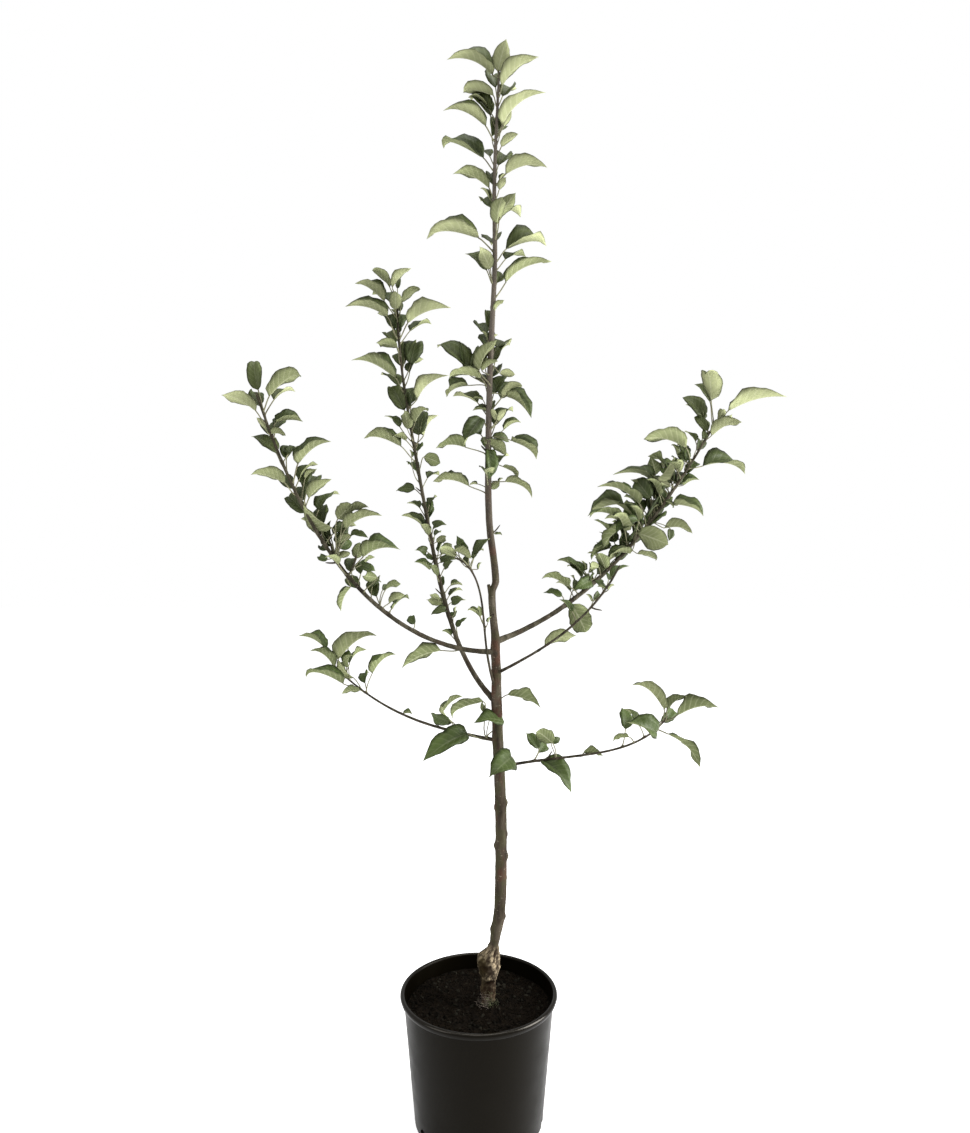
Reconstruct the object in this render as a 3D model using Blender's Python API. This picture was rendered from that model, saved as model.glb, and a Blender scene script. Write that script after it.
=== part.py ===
# Young dwarf apple tree in a black nursery pot.
# Metres, +Z up. The origin is the centre of the pot's flat underside, and -Y faces the viewer.
# Bearings turn about +Z: 0 is +X, 90 is +Y. A rise is an angle above the horizontal.

import math
import random

import bpy
import bmesh
from mathutils import Vector

# Nursery pot
POT_HEIGHT = 0.242
RIM_RADIUS = 0.140
MOUTH_RADIUS = 0.1315
RIM_DEPTH = 0.013
BASE_RADIUS = 0.1148
WALL_SLOPE = 0.0806
WALL = 0.0024
FLOOR = 0.0030
CORNER_RADIUS = 0.006
POT_SIDES = 40
CORNER_STEPS = 3
LIP_STEPS = 4
SEAM = 0.00001

# Drainage slots round the corner of the base
SLOT_COUNT = 8
SLOT_FIRST_BEARING = -11.0
SLOT_WIDTH = 0.018
SLOT_HEIGHT = 0.024
SLOT_INNER_RADIUS = 0.098
SLOT_OUTER_RADIUS = 0.130

# Potting mix
SOIL_LEVEL = 0.214
GAP = 0.0003

# Trunk: height, sideways place (x), depth (y)
TRUNK_LINE = (
    (0.214, 0.0145, 0.000),
    (0.283, 0.0165, 0.002),
    (0.344, 0.0290, 0.003),
    (0.450, 0.0398, 0.000),
    (0.576, 0.0397, -0.004),
    (0.700, 0.0336, -0.004),
    (0.870, 0.0290, 0.000),
    (0.955, 0.0229, 0.002),
    (0.976, 0.0296, 0.003),
    (1.070, 0.0190, 0.006),
    (1.150, 0.0165, 0.007),
    (1.320, 0.0192, 0.004),
    (1.510, 0.0274, -0.002),
    (1.640, 0.0267, -0.005),
    (1.809, 0.0339, -0.008),
)
# Trunk: height, radius. The swelling near the foot is the graft union.
TRUNK_RADII = (
    (0.214, 0.0170),
    (0.226, 0.0135),
    (0.246, 0.0130),
    (0.262, 0.0175),
    (0.284, 0.0208),
    (0.304, 0.0190),
    (0.320, 0.0120),
    (0.345, 0.0098),
    (0.450, 0.0090),
    (0.700, 0.0078),
    (0.900, 0.0074),
    (1.000, 0.0062),
    (1.250, 0.0052),
    (1.500, 0.0040),
    (1.700, 0.0028),
    (1.809, 0.0018),
)
TRUNK_SIDES = 12
TRUNK_STEP = 0.034
UNION_TOP = 0.345
UNION_STEP = 0.011
UNION_UNEVEN = 0.10
UNION_TWIST = 8.0

# Boughs: foot height on the trunk, bearing at foot and tip, rise at four even places, length,
# radius at foot and tip. Each grows from the middle of the trunk, so its length starts there.
BOUGHS = {
    "second_leader": dict(foot=0.764, bearing=(140, 130), rise=(30, 72, 75, 93), length=0.777,
                          radii=(0.0050, 0.0020)),
    "left_bough": dict(foot=0.853, bearing=(200, 212), rise=(2, 38, 61, 71), length=0.621,
                       radii=(0.0046, 0.0020)),
    "right_bough": dict(foot=0.876, bearing=(30, 24), rise=(8, 33, 48, 55), length=0.625,
                        radii=(0.0052, 0.0020)),
    "inner_shoot": dict(foot=0.788, bearing=(225, 215), rise=(58, 81, 77, 18), length=0.259,
                        radii=(0.0024, 0.0016)),
    "under_right_shoot": dict(foot=0.822, bearing=(-46, -38), rise=(19, 31, 42, 61), length=0.325,
                              radii=(0.0027, 0.0016)),
    "lower_left_bough": dict(foot=0.697, bearing=(150, 142), rise=(3, 6, 18, 29), length=0.393,
                             radii=(0.0032, 0.0017)),
    "lower_right_bough": dict(foot=0.651, bearing=(-30, -24), rise=(17, 14, 20, 57), length=0.324,
                              radii=(0.0028, 0.0016)),
}
BOUGH_SIDES = 8
BOUGH_SAMPLES = 48
BOUGH_STEP = 0.024
FEWEST_RINGS = 4
COLLAR_SWELL = 0.3
COLLAR_LENGTH = 0.024
HEADING_REACH = 1.5

# Stretches of bough that stay bare, as fractions of the bough's length
BARE = {
    "second_leader": (("second_leader", 0.0, 0.19),),
    "left_bough": (("left_bough", 0.0, 0.30),),
    "right_bough": (("right_bough", 0.0, 0.23),),
    "inner_shoot": (("inner_shoot", 0.0, 0.80),),
    "under_right_shoot": (("under_right_shoot", 0.0, 0.42),),
    "lower_left_bough": (("lower_left_bough", 0.0, 0.13), ("lower_left_bough_outer", 0.36, 0.70)),
    "lower_right_bough": (("lower_right_bough", 0.0, 0.14), ("lower_right_bough_outer", 0.42, 0.66)),
}

# Masses of leaves on a bough: the bough, span as fractions of its length, largest radius, sideways
# swell of the middle (x, y, z), reach past the bough's tip (x, y, z) where the mass holds the tip, seed
MASSES = {
    "second_leader_foot_leaves": dict(
        bough="second_leader", span=(0.19, 0.35), radius=0.034, swell=(0, 0, 0), seed=11
    ),
    "second_leader_spur_leaves": dict(
        bough="second_leader", span=(0.35, 0.52), radius=0.054, swell=(0.008, 0, 0), seed=12
    ),
    "second_leader_middle_leaves": dict(
        bough="second_leader", span=(0.52, 0.65), radius=0.038, swell=(0, 0, 0), seed=13
    ),
    "second_leader_upper_leaves": dict(
        bough="second_leader", span=(0.65, 0.82), radius=0.072, swell=(-0.006, 0, 0), seed=14
    ),
    "second_leader_tip_leaves": dict(
        bough="second_leader", span=(0.82, 1), radius=0.082, swell=(0, 0, 0), seed=15,
        reach=(0, 0, 0.05)
    ),
    "inner_shoot_leaves": dict(
        bough="inner_shoot", span=(0.8, 1), radius=0.026, swell=(0, 0, 0), seed=16,
        reach=(-0.008, -0.006, 0.03)
    ),
    "left_bough_inner_leaves": dict(
        bough="left_bough", span=(0.3, 0.53), radius=0.056, swell=(0.01, 0, 0.014), seed=21
    ),
    "left_bough_middle_leaves": dict(
        bough="left_bough", span=(0.53, 0.77), radius=0.066, swell=(0.034, 0, 0.022), seed=22
    ),
    "left_bough_tip_leaves": dict(
        bough="left_bough", span=(0.77, 1), radius=0.066, swell=(0.006, 0, 0), seed=23,
        reach=(0.006, -0.004, 0.05)
    ),
    "right_bough_inner_leaves": dict(
        bough="right_bough", span=(0.23, 0.44), radius=0.052, swell=(-0.008, 0, 0.014), seed=31
    ),
    "right_bough_middle_leaves": dict(
        bough="right_bough", span=(0.44, 0.66), radius=0.078, swell=(-0.016, 0, 0.026), seed=32
    ),
    "right_bough_outer_leaves": dict(
        bough="right_bough", span=(0.66, 0.87), radius=0.072, swell=(-0.014, 0, 0.014), seed=33
    ),
    "right_bough_tip_leaves": dict(
        bough="right_bough", span=(0.87, 1), radius=0.064, swell=(0, 0, 0), seed=34,
        reach=(0.124, 0.01, 0.052)
    ),
    "under_right_leaves": dict(
        bough="under_right_shoot", span=(0.42, 1), radius=0.034, swell=(-0.008, 0, 0), seed=41,
        reach=(0.008, 0, 0.02)
    ),
    "lower_left_inner_leaves": dict(
        bough="lower_left_bough", span=(0.13, 0.36), radius=0.052, swell=(0, 0, 0), seed=51
    ),
    "lower_left_tip_leaves": dict(
        bough="lower_left_bough", span=(0.7, 1), radius=0.056, swell=(0, 0, 0.012), seed=52,
        reach=(-0.066, 0.02, 0.016)
    ),
    "lower_right_inner_leaves": dict(
        bough="lower_right_bough", span=(0.14, 0.42), radius=0.052, swell=(0, 0, 0), seed=61
    ),
    "lower_right_tip_leaves": dict(
        bough="lower_right_bough", span=(0.66, 1), radius=0.058, swell=(0.006, 0, 0), seed=62,
        reach=(0.084, -0.026, 0.008)
    ),
}

# Masses of leaves round the trunk: lowest and highest height, largest radius, sideways swell, seed
TRUNK_MASSES = {
    "leader_lower_leaves": dict(span=(1.112, 1.19), radius=0.066, swell=(-0.006, 0, 0), seed=71),
    "leader_cluster_leaves": dict(span=(1.192, 1.392), radius=0.088, swell=(0, 0, 0), seed=72),
    "leader_middle_leaves": dict(span=(1.462, 1.592), radius=0.104, swell=(0, 0, 0), seed=73),
    "leader_upper_leaves": dict(span=(1.6, 1.732), radius=0.088, swell=(0, 0, 0), seed=74),
    "leader_top_leaves": dict(span=(1.736, 1.854), radius=0.086, swell=(0, 0, 0), seed=75),
}
MASS_SIDES = 10
MASS_RINGS = 10
MASS_NECK = 0.009
MASS_BLUNT = 0.72
MASS_UNEVEN = 0.30
MASS_ROUGH = 0.10
MASS_LOBES = ((2, 0.55, 3.0), (3, 0.45, 5.0))
REACH_SAMPLES = 8
REACH_BEND = 0.5

MATERIALS = {
    "pot_plastic": ((0.012, 0.012, 0.011), 0.42),
    "potting_mix": ((0.012, 0.009, 0.006), 0.95),
    "bark": ((0.105, 0.068, 0.052), 0.80),
    "leaves": ((0.150, 0.215, 0.085), 0.60),
}


def clear_scene():
    for old in list(bpy.data.objects):
        bpy.data.objects.remove(old, do_unlink=True)


def make_material(name):
    colour, roughness = MATERIALS[name]
    material = bpy.data.materials.new(name)
    material.use_nodes = True
    shader = material.node_tree.nodes["Principled BSDF"]
    shader.inputs["Base Color"].default_value = (*colour, 1.0)
    shader.inputs["Roughness"].default_value = roughness
    shader.inputs["Metallic"].default_value = 0.0
    return material


def add_object(name, shape, material, smooth_angle=40.0):
    mesh = bpy.data.meshes.new(name)
    bmesh.ops.recalc_face_normals(shape, faces=shape.faces)
    shape.to_mesh(mesh)
    shape.free()
    mesh.shade_smooth()
    mesh.set_sharp_from_angle(angle=math.radians(smooth_angle))
    made = bpy.data.objects.new(name, mesh)
    bpy.context.scene.collection.objects.link(made)
    if material is not None:
        made.data.materials.append(bpy.data.materials[material])
    return made


def make_cutter(made):
    made.hide_render = True
    made.display_type = "WIRE"
    return made


def cut(target, cutter):
    boolean = target.modifiers.new("cut " + cutter.name, "BOOLEAN")
    boolean.operation = "DIFFERENCE"
    boolean.solver = "EXACT"
    boolean.object = cutter


# Turned shapes: a profile of (radius, height) pairs that starts and ends on the axis

def arc(centre, radius, start, end, steps):
    """Points on a round corner, in degrees from the outward direction."""
    points = []
    for step in range(steps + 1):
        angle = math.radians(start + (end - start) * step / steps)
        points.append((centre[0] + radius * math.cos(angle), centre[1] + radius * math.sin(angle)))
    return points


def turned(profile, sides):
    shape = bmesh.new()
    corners = [shape.verts.new((radius, 0.0, height)) for radius, height in profile]
    edges = [shape.edges.new(pair) for pair in zip(corners, corners[1:])]
    bmesh.ops.spin(
        shape, geom=corners + edges, cent=(0, 0, 0), axis=(0, 0, 1), angle=2 * math.pi, steps=sides
    )
    bmesh.ops.remove_doubles(shape, verts=shape.verts, dist=SEAM)
    return shape


def wall_radius(height):
    return BASE_RADIUS + WALL_SLOPE * height


def lip_radius():
    return (RIM_RADIUS - MOUTH_RADIUS) / 2


def inner_corner():
    """Centre of the round corner between the floor and the wall, inside."""
    return wall_radius(CORNER_RADIUS) - WALL - CORNER_RADIUS, FLOOR + CORNER_RADIUS


def inner_radius(height):
    """The inner wall runs straight from its bottom corner to the mouth."""
    low_radius, low = inner_corner()[0] + CORNER_RADIUS, inner_corner()[1]
    high = POT_HEIGHT - lip_radius()
    return low_radius + (MOUTH_RADIUS - low_radius) * (height - low) / (high - low)


def pot_profile():
    lip = lip_radius()
    lip_centre = (MOUTH_RADIUS + lip, POT_HEIGHT - lip)
    rim_foot = POT_HEIGHT - RIM_DEPTH
    corner = (wall_radius(CORNER_RADIUS) - CORNER_RADIUS, CORNER_RADIUS)
    profile = [(0.0, 0.0)]
    profile += arc(corner, CORNER_RADIUS, -90, 0, CORNER_STEPS)
    profile += [(wall_radius(rim_foot), rim_foot), (RIM_RADIUS - lip / 2, rim_foot)]
    profile += arc(lip_centre, lip, 0, 180, LIP_STEPS)
    profile += arc(inner_corner(), CORNER_RADIUS, 0, -90, CORNER_STEPS)
    profile += [(0.0, FLOOR)]
    return profile


def slot_cutter(index):
    """A round-topped post that cuts one drainage slot through the corner of the base."""
    half = SLOT_WIDTH / 2
    straight_top = SLOT_HEIGHT - half
    outline = [(-half, -half), (half, -half)]
    outline += arc((0.0, straight_top), half, 0, 180, 2 * CORNER_STEPS)
    bearing = math.radians(SLOT_FIRST_BEARING + 360.0 / SLOT_COUNT * index)
    out = Vector((math.cos(bearing), math.sin(bearing), 0))
    side = Vector((-math.sin(bearing), math.cos(bearing), 0))
    shape = bmesh.new()
    inner = [
        shape.verts.new(out * SLOT_INNER_RADIUS + side * across + Vector((0, 0, up)))
        for across, up in outline
    ]
    face = shape.faces.new(inner)
    pushed = bmesh.ops.extrude_face_region(shape, geom=[face])
    moved = [part for part in pushed["geom"] if isinstance(part, bmesh.types.BMVert)]
    bmesh.ops.translate(shape, verts=moved, vec=out * (SLOT_OUTER_RADIUS - SLOT_INNER_RADIUS))
    return make_cutter(add_object(f"slot_cutter_{index}", shape, None))


def make_pot():
    pot = add_object("nursery_pot", turned(pot_profile(), POT_SIDES), "pot_plastic")
    for index in range(SLOT_COUNT):
        cut(pot, slot_cutter(index))


def make_soil():
    profile = [(0.0, FLOOR + GAP)]
    profile += arc(inner_corner(), CORNER_RADIUS - GAP, -90, 0, CORNER_STEPS)
    profile += [(inner_radius(SOIL_LEVEL) - GAP, SOIL_LEVEL), (0.0, SOIL_LEVEL)]
    add_object("potting_mix", turned(profile, POT_SIDES), "potting_mix")


# Curves along the wood

def blend(table, at):
    """Smooth value between the rows of a table whose first column rises."""
    if at <= table[0][0]:
        return list(table[0][1:])
    if at >= table[-1][0]:
        return list(table[-1][1:])
    row = next(i for i in range(len(table) - 1) if table[i][0] <= at <= table[i + 1][0])
    first, second = table[row], table[row + 1]
    before = table[max(row - 1, 0)]
    after = table[min(row + 2, len(table) - 1)]
    span = second[0] - first[0]
    share = (at - first[0]) / span
    values = []
    for column in range(1, len(first)):
        start = (second[column] - before[column]) / (second[0] - before[0]) * span
        end = (after[column] - first[column]) / (after[0] - first[0]) * span
        square, cube = share * share, share ** 3
        values.append(
            (2 * cube - 3 * square + 1) * first[column]
            + (cube - 2 * square + share) * start
            + (3 * square - 2 * cube) * second[column]
            + (cube - square) * end
        )
    return values


def trunk_point(height):
    x, y = blend(TRUNK_LINE, height)
    return Vector((x, y, height))


def trunk_radius(height):
    return blend(TRUNK_RADII, height)[0]


def through_four(values, share):
    """The cubic through four even values."""
    total = 0.0
    for i, value in enumerate(values):
        weight = 1.0
        for j in range(4):
            if j != i:
                weight *= (share - j / 3) / (i / 3 - j / 3)
        total += weight * value
    return total


def heading(rise, bearing):
    rise, bearing = math.radians(rise), math.radians(bearing)
    level = math.cos(rise)
    return Vector((level * math.cos(bearing), level * math.sin(bearing), math.sin(rise)))


def bough_points(bough):
    """Even points along a bough, found by following its heading from the middle of the trunk."""
    points = [trunk_point(bough["foot"])]
    first, last = bough["bearing"]
    for i in range(BOUGH_SAMPLES):
        share = (i + 0.5) / BOUGH_SAMPLES
        way = heading(through_four(bough["rise"], share), first + (last - first) * share)
        points.append(points[-1] + way * bough["length"] / BOUGH_SAMPLES)
    return points


def place_on(points, share):
    place = min(max(share, 0.0), 1.0) * (len(points) - 1)
    first = min(int(place), len(points) - 2)
    return points[first].lerp(points[first + 1], place - first)


def direction_on(points, share):
    reach = HEADING_REACH / (len(points) - 1)
    return (place_on(points, share + reach) - place_on(points, share - reach)).normalized()


def bough_radius(bough, share):
    foot, tip = bough["radii"]
    swell = COLLAR_SWELL * math.exp(-share * bough["length"] / COLLAR_LENGTH)
    return (foot + (tip - foot) * share) * (1.0 + swell)


# Lofted shapes: rings joined end to end

def ring_points(centre, axis, across, radii):
    up = axis.cross(across).normalized()
    count = len(radii)
    return [
        centre + across * radius * math.cos(2 * math.pi * i / count)
        + up * radius * math.sin(2 * math.pi * i / count)
        for i, radius in enumerate(radii)
    ]


def untwisted(axes):
    """One crosswise direction for each ring, carried along the line without twist."""
    upright = axes[0].angle(Vector((0, 0, 1))) < math.radians(3)
    across = Vector((1, 0, 0)) if upright else Vector((0, 0, 1)).cross(axes[0])
    carried = []
    for axis in axes:
        across = (across - axis * across.dot(axis)).normalized()
        carried.append(across.copy())
    return carried


def loft(rings):
    shape = bmesh.new()
    made = [[shape.verts.new(point) for point in ring] for ring in rings]
    for lower, upper in zip(made, made[1:]):
        count = len(lower)
        for i in range(count):
            shape.faces.new((lower[i], lower[(i + 1) % count], upper[(i + 1) % count], upper[i]))
    shape.faces.new(list(reversed(made[0])))
    shape.faces.new(made[-1])
    return shape


def trunk_heights():
    heights = []
    height = SOIL_LEVEL
    while height < UNION_TOP:
        heights.append(height)
        height += UNION_STEP
    top = TRUNK_LINE[-1][0]
    count = round((top - height) / TRUNK_STEP)
    heights += [height + (top - height) * i / count for i in range(count + 1)]
    return heights


def union_unevenness(height, angle):
    """The graft union is knobbly: broad bumps that turn with the height, and smaller ones."""
    share = (height - SOIL_LEVEL) / (UNION_TOP - SOIL_LEVEL)
    inside = math.sin(math.pi * share) if share < 1 else 0.0
    broad = math.sin(2 * angle + UNION_TWIST * share)
    small = math.sin(3 * angle - UNION_TWIST * share)
    return 1.0 + UNION_UNEVEN * inside * (broad + small / 2)


def trunk_rings(grow):
    rings = []
    for height in trunk_heights():
        centre = trunk_point(height)
        ring = []
        for i in range(TRUNK_SIDES):
            angle = 2 * math.pi * i / TRUNK_SIDES
            radius = trunk_radius(height) * union_unevenness(height, angle) + grow
            ring.append(centre + Vector((math.cos(angle), math.sin(angle), 0)) * radius)
        rings.append(ring)
    return rings


def make_trunk():
    rings = trunk_rings(0.0)
    for point in rings[0]:
        point.z += GAP
    add_object("trunk", loft(rings), "bark")


def trunk_clearance():
    """The trunk swollen by the gap, which cuts the feet of the boughs and the masses round it."""
    rings = trunk_rings(GAP / math.cos(math.pi / TRUNK_SIDES))
    for point in rings[-1]:
        point.z += GAP
    return make_cutter(add_object("trunk_clearance", loft(rings), None))


def make_bough(name, bough_name, start, end, clearance):
    bough = BOUGHS[bough_name]
    points = bough_points(bough)
    gap = GAP / bough["length"]
    first = start + gap if start > 0 else 0.0
    last = end - gap
    count = max(FEWEST_RINGS, round((last - first) * bough["length"] / BOUGH_STEP))
    shares = [first + (last - first) * i / count for i in range(count + 1)]
    axes = [direction_on(points, share) for share in shares]
    rings = [
        ring_points(place_on(points, share), axis, across, [bough_radius(bough, share)] * BOUGH_SIDES)
        for share, axis, across in zip(shares, axes, untwisted(axes))
    ]
    made = add_object(name, loft(rings), "bark")
    if start == 0:
        cut(made, clearance)


def mass_lobes(chance):
    """Broad swellings that wind round the mass: turns round it, size, twist along it, start."""
    return [
        (turns, size, twist * chance.uniform(-1, 1), chance.uniform(0, 2 * math.pi))
        for turns, size, twist in MASS_LOBES
    ]


def mass_radius(mass, chance, lobes, share, angle):
    """Uneven spindle: wide in the middle and drawn in to a neck at each end."""
    spindle = math.sin(math.pi * share) ** MASS_BLUNT
    wave = sum(size * math.sin(turns * angle + twist * share + start) for turns, size, twist, start in lobes)
    rough = MASS_ROUGH * chance.uniform(-0.5, 0.5)
    return MASS_NECK + (mass["radius"] - MASS_NECK) * spindle * (1.0 + MASS_UNEVEN * wave + rough)


def make_mass(name, mass, places, axes):
    """A closed solid round the wood: places and axes hold one centre and one direction a ring."""
    chance = random.Random(mass["seed"])
    lobes = mass_lobes(chance)
    rings = []
    for share, centre, axis, across in zip(mass_shares(), places, axes, untwisted(axes)):
        angles = [2 * math.pi * side / MASS_SIDES for side in range(MASS_SIDES)]
        radii = [mass_radius(mass, chance, lobes, share, angle) for angle in angles]
        if share in (0.0, 1.0):
            radii = [MASS_NECK] * MASS_SIDES
        swollen = centre + Vector(mass["swell"]) * math.sin(math.pi * share) ** 2
        rings.append(ring_points(swollen, axis, across, radii))
    return add_object(name, loft(rings), "leaves", smooth_angle=180)


def mass_shares():
    """Ring places that crowd towards both ends, so the mass is blunt there."""
    last = MASS_RINGS - 1
    return [(1 - math.cos(math.pi * i / last)) / 2 for i in range(last)] + [1.0]


def reach_points(points, reach):
    """The bough's line drawn on past its tip, bending from its heading to the reach."""
    tip, ahead, reach = points[-1], direction_on(points, 1.0), Vector(reach)
    for i in range(1, REACH_SAMPLES + 1):
        share = i / REACH_SAMPLES
        bend = ahead * reach.length * share * (1 - share) * REACH_BEND
        points.append(tip + reach * share + bend)


def make_bough_mass(name):
    mass = MASSES[name]
    bough = BOUGHS[mass["bough"]]
    points = bough_points(bough)
    first, last = mass["span"]
    if "reach" in mass:
        reach_points(points, mass["reach"])
        first *= BOUGH_SAMPLES / (BOUGH_SAMPLES + REACH_SAMPLES)
    half_gap = GAP / 2 / bough["length"]
    shares = [first + half_gap + (last - first - 2 * half_gap) * share for share in mass_shares()]
    places = [place_on(points, share) for share in shares]
    make_mass(name, mass, places, [direction_on(points, share) for share in shares])


def make_trunk_mass(name, clearance):
    mass = TRUNK_MASSES[name]
    low, high = mass["span"]
    heights = [low + GAP / 2 + (high - low - GAP) * share for share in mass_shares()]
    places = [trunk_point(height) for height in heights]
    made = make_mass(name, mass, places, [Vector((0, 0, 1))] * MASS_RINGS)
    cut(made, clearance)


def main():
    clear_scene()
    for name in MATERIALS:
        make_material(name)
    make_pot()
    make_soil()
    make_trunk()
    clearance = trunk_clearance()
    for bough_name, stretches in BARE.items():
        for name, start, end in stretches:
            make_bough(name, bough_name, start, end, clearance)
    for name in MASSES:
        make_bough_mass(name)
    for name in TRUNK_MASSES:
        make_trunk_mass(name, clearance)


main()
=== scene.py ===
# The looks of a young dwarf apple tree in a black nursery pot.
# Metres, +Z up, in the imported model's frame: the pot stands on z = 0, its axis is at x = y = 0,
# and -Y faces the viewer. Bearings turn about +Z from +X. A rise is an angle above the level.

import math
import random

import bmesh
import bpy
from mathutils import Matrix, Vector, noise


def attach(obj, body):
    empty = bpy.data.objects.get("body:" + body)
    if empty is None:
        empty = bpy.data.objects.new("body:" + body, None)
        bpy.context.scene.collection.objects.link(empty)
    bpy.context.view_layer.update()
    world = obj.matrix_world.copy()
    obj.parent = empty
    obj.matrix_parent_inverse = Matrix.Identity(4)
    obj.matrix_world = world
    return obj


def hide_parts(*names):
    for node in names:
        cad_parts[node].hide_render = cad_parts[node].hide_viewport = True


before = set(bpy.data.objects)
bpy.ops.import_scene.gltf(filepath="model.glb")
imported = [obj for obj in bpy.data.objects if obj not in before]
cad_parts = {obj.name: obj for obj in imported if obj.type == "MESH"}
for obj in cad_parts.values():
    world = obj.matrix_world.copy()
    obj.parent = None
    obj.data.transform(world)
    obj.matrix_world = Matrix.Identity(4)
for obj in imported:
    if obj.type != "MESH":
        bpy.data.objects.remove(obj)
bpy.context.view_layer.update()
upward = Vector((0, 0, 1))
print("frame loaded")


# Camera: it stands 1.62 m in front of the pot, at the height of the middle of the crown
cameraSetup = {
    "place": (0.0111, -1.624, 1.143),
    "pitchDown": 5.0,
    "lens": 30.19,  # millimetres, for the long side of a 36 mm frame
    "frameSide": 36.0,
}


def makeCamera():
    view = bpy.data.cameras.new("camera")
    view.sensor_width = cameraSetup["frameSide"]
    view.lens = cameraSetup["lens"]
    camera = bpy.data.objects.new("camera", view)
    camera.location = cameraSetup["place"]
    camera.rotation_euler = (math.radians(90 - cameraSetup["pitchDown"]), 0, 0)
    bpy.context.scene.collection.objects.link(camera)
    bpy.context.scene.camera = camera


# Node helpers

def addNode(tree, kind, settings=None, inputs=None):
    node = tree.nodes.new(kind)
    for name, value in (settings or {}).items():
        setattr(node, name, value)
    for name, value in (inputs or {}).items():
        node.inputs[name].default_value = value
    return node


def link(tree, source, target):
    tree.links.new(source, target)


def linkAll(tree, rows):
    # a row holds a node, its output, the node that it feeds and the input there
    for source, output, target, entry in rows:
        link(tree, source.outputs[output], target.inputs[entry])


def feed(tree, socket, value):
    # a socket is linked, a number or a colour is set
    if isinstance(value, bpy.types.NodeSocket):
        link(tree, value, socket)
    else:
        socket.default_value = value if isinstance(value, (int, float)) else (*value, 1)


def addMath(tree, operation, *values):
    node = addNode(tree, "ShaderNodeMath", {"operation": operation})
    for value, socket in zip(values, node.inputs):
        feed(tree, socket, value)
    return node.outputs[0]


def shaded(colour, share):
    return tuple(min(value * share, 1) for value in colour)


def newMaterial(name, roughness, specular):
    material = bpy.data.materials.new(name)
    material.use_nodes = True
    shader = material.node_tree.nodes["Principled BSDF"]
    shader.inputs["Roughness"].default_value = roughness
    shader.inputs["Specular IOR Level"].default_value = specular
    return material, material.node_tree, shader


def objectNoise(tree, scale, detail=4.0, stretch=(1, 1, 1)):
    # noise on Object coordinates; stretch squeezes it along each axis
    place = addNode(tree, "ShaderNodeTexCoord")
    mapping = addNode(tree, "ShaderNodeMapping", inputs={"Scale": stretch})
    grain = addNode(tree, "ShaderNodeTexNoise", inputs={"Scale": scale, "Detail": detail})
    link(tree, place.outputs["Object"], mapping.inputs["Vector"])
    link(tree, mapping.outputs["Vector"], grain.inputs["Vector"])
    return grain.outputs["Fac"]


def colourRamp(tree, source, stops):
    ramp = addNode(tree, "ShaderNodeValToRGB")
    elements = ramp.color_ramp.elements
    while len(elements) < len(stops):
        elements.new(0.5)
    for element, (place, colour) in zip(elements, stops):
        element.position = place
        element.color = (*colour, 1)
    link(tree, source, ramp.inputs["Fac"])
    return ramp.outputs["Color"]


def mixColour(tree, factor, first, second):
    mixed = addNode(tree, "ShaderNodeMix", {"data_type": "RGBA"})
    for place, value in ((0, factor), (6, first), (7, second)):
        feed(tree, mixed.inputs[place], value)
    return mixed.outputs[2]


def mapRange(tree, source, low, high, newLow=0.0, newHigh=1.0):
    values = {"From Min": low, "From Max": high, "To Min": newLow, "To Max": newHigh}
    ranged = addNode(tree, "ShaderNodeMapRange", inputs=values)
    link(tree, source, ranged.inputs["Value"])
    return ranged.outputs["Result"]


def layered(tree, colour, layers):
    # colours laid over each other by their share of the surface
    for value, low, high, shareLow, shareHigh, over in layers:
        colour = mixColour(tree, mapRange(tree, value, low, high, shareLow, shareHigh), colour, over)
    return colour


def addBump(tree, shader, height, distance, strength=1.0):
    bump = addNode(tree, "ShaderNodeBump", inputs={"Distance": distance, "Strength": strength})
    link(tree, height, bump.inputs["Height"])
    link(tree, bump.outputs["Normal"], shader.inputs["Normal"])


def grainedMaterial(name, roughness, specular, grain, stops, relief=None):
    # colours that follow a noise of a scale and detail, over a relief: scale, detail, depth, strength
    material, tree, shader = newMaterial(name, roughness, specular)
    link(tree, colourRamp(tree, objectNoise(tree, *grain), stops), shader.inputs["Base Color"])
    if relief:
        scale, detail, distance, strength = relief
        addBump(tree, shader, objectNoise(tree, scale, detail), distance, strength)
    return material


# Mesh helpers: a shape is plain lists until it becomes a piece

def newShape():
    return {"points": [], "faces": [], "uv": [], "finish": []}


def addPoint(shape, point, uv=(0.0, 0.0)):
    shape["points"].append(point)
    shape["uv"].append(uv)
    return len(shape["points"]) - 1


def addFace(shape, corners, finish=0):
    shape["faces"].append(corners)
    shape["finish"].append(finish)


def addObject(name, mesh):
    made = bpy.data.objects.new(name, mesh)
    bpy.context.scene.collection.objects.link(made)
    return made


def makePiece(name, shape, materials, sharpAngle=180.0):
    mesh = bpy.data.meshes.new(name)
    mesh.from_pydata(shape["points"], [], shape["faces"])
    layer = mesh.uv_layers.new(name="UVMap")
    for loop in mesh.loops:
        layer.data[loop.index].uv = shape["uv"][loop.vertex_index]
    for material in materials:
        mesh.materials.append(material)
    mesh.polygons.foreach_set("material_index", shape["finish"])
    mesh.shade_smooth()
    mesh.set_sharp_from_angle(angle=math.radians(sharpAngle))
    mesh.update()
    return addObject(name, mesh)


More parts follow.
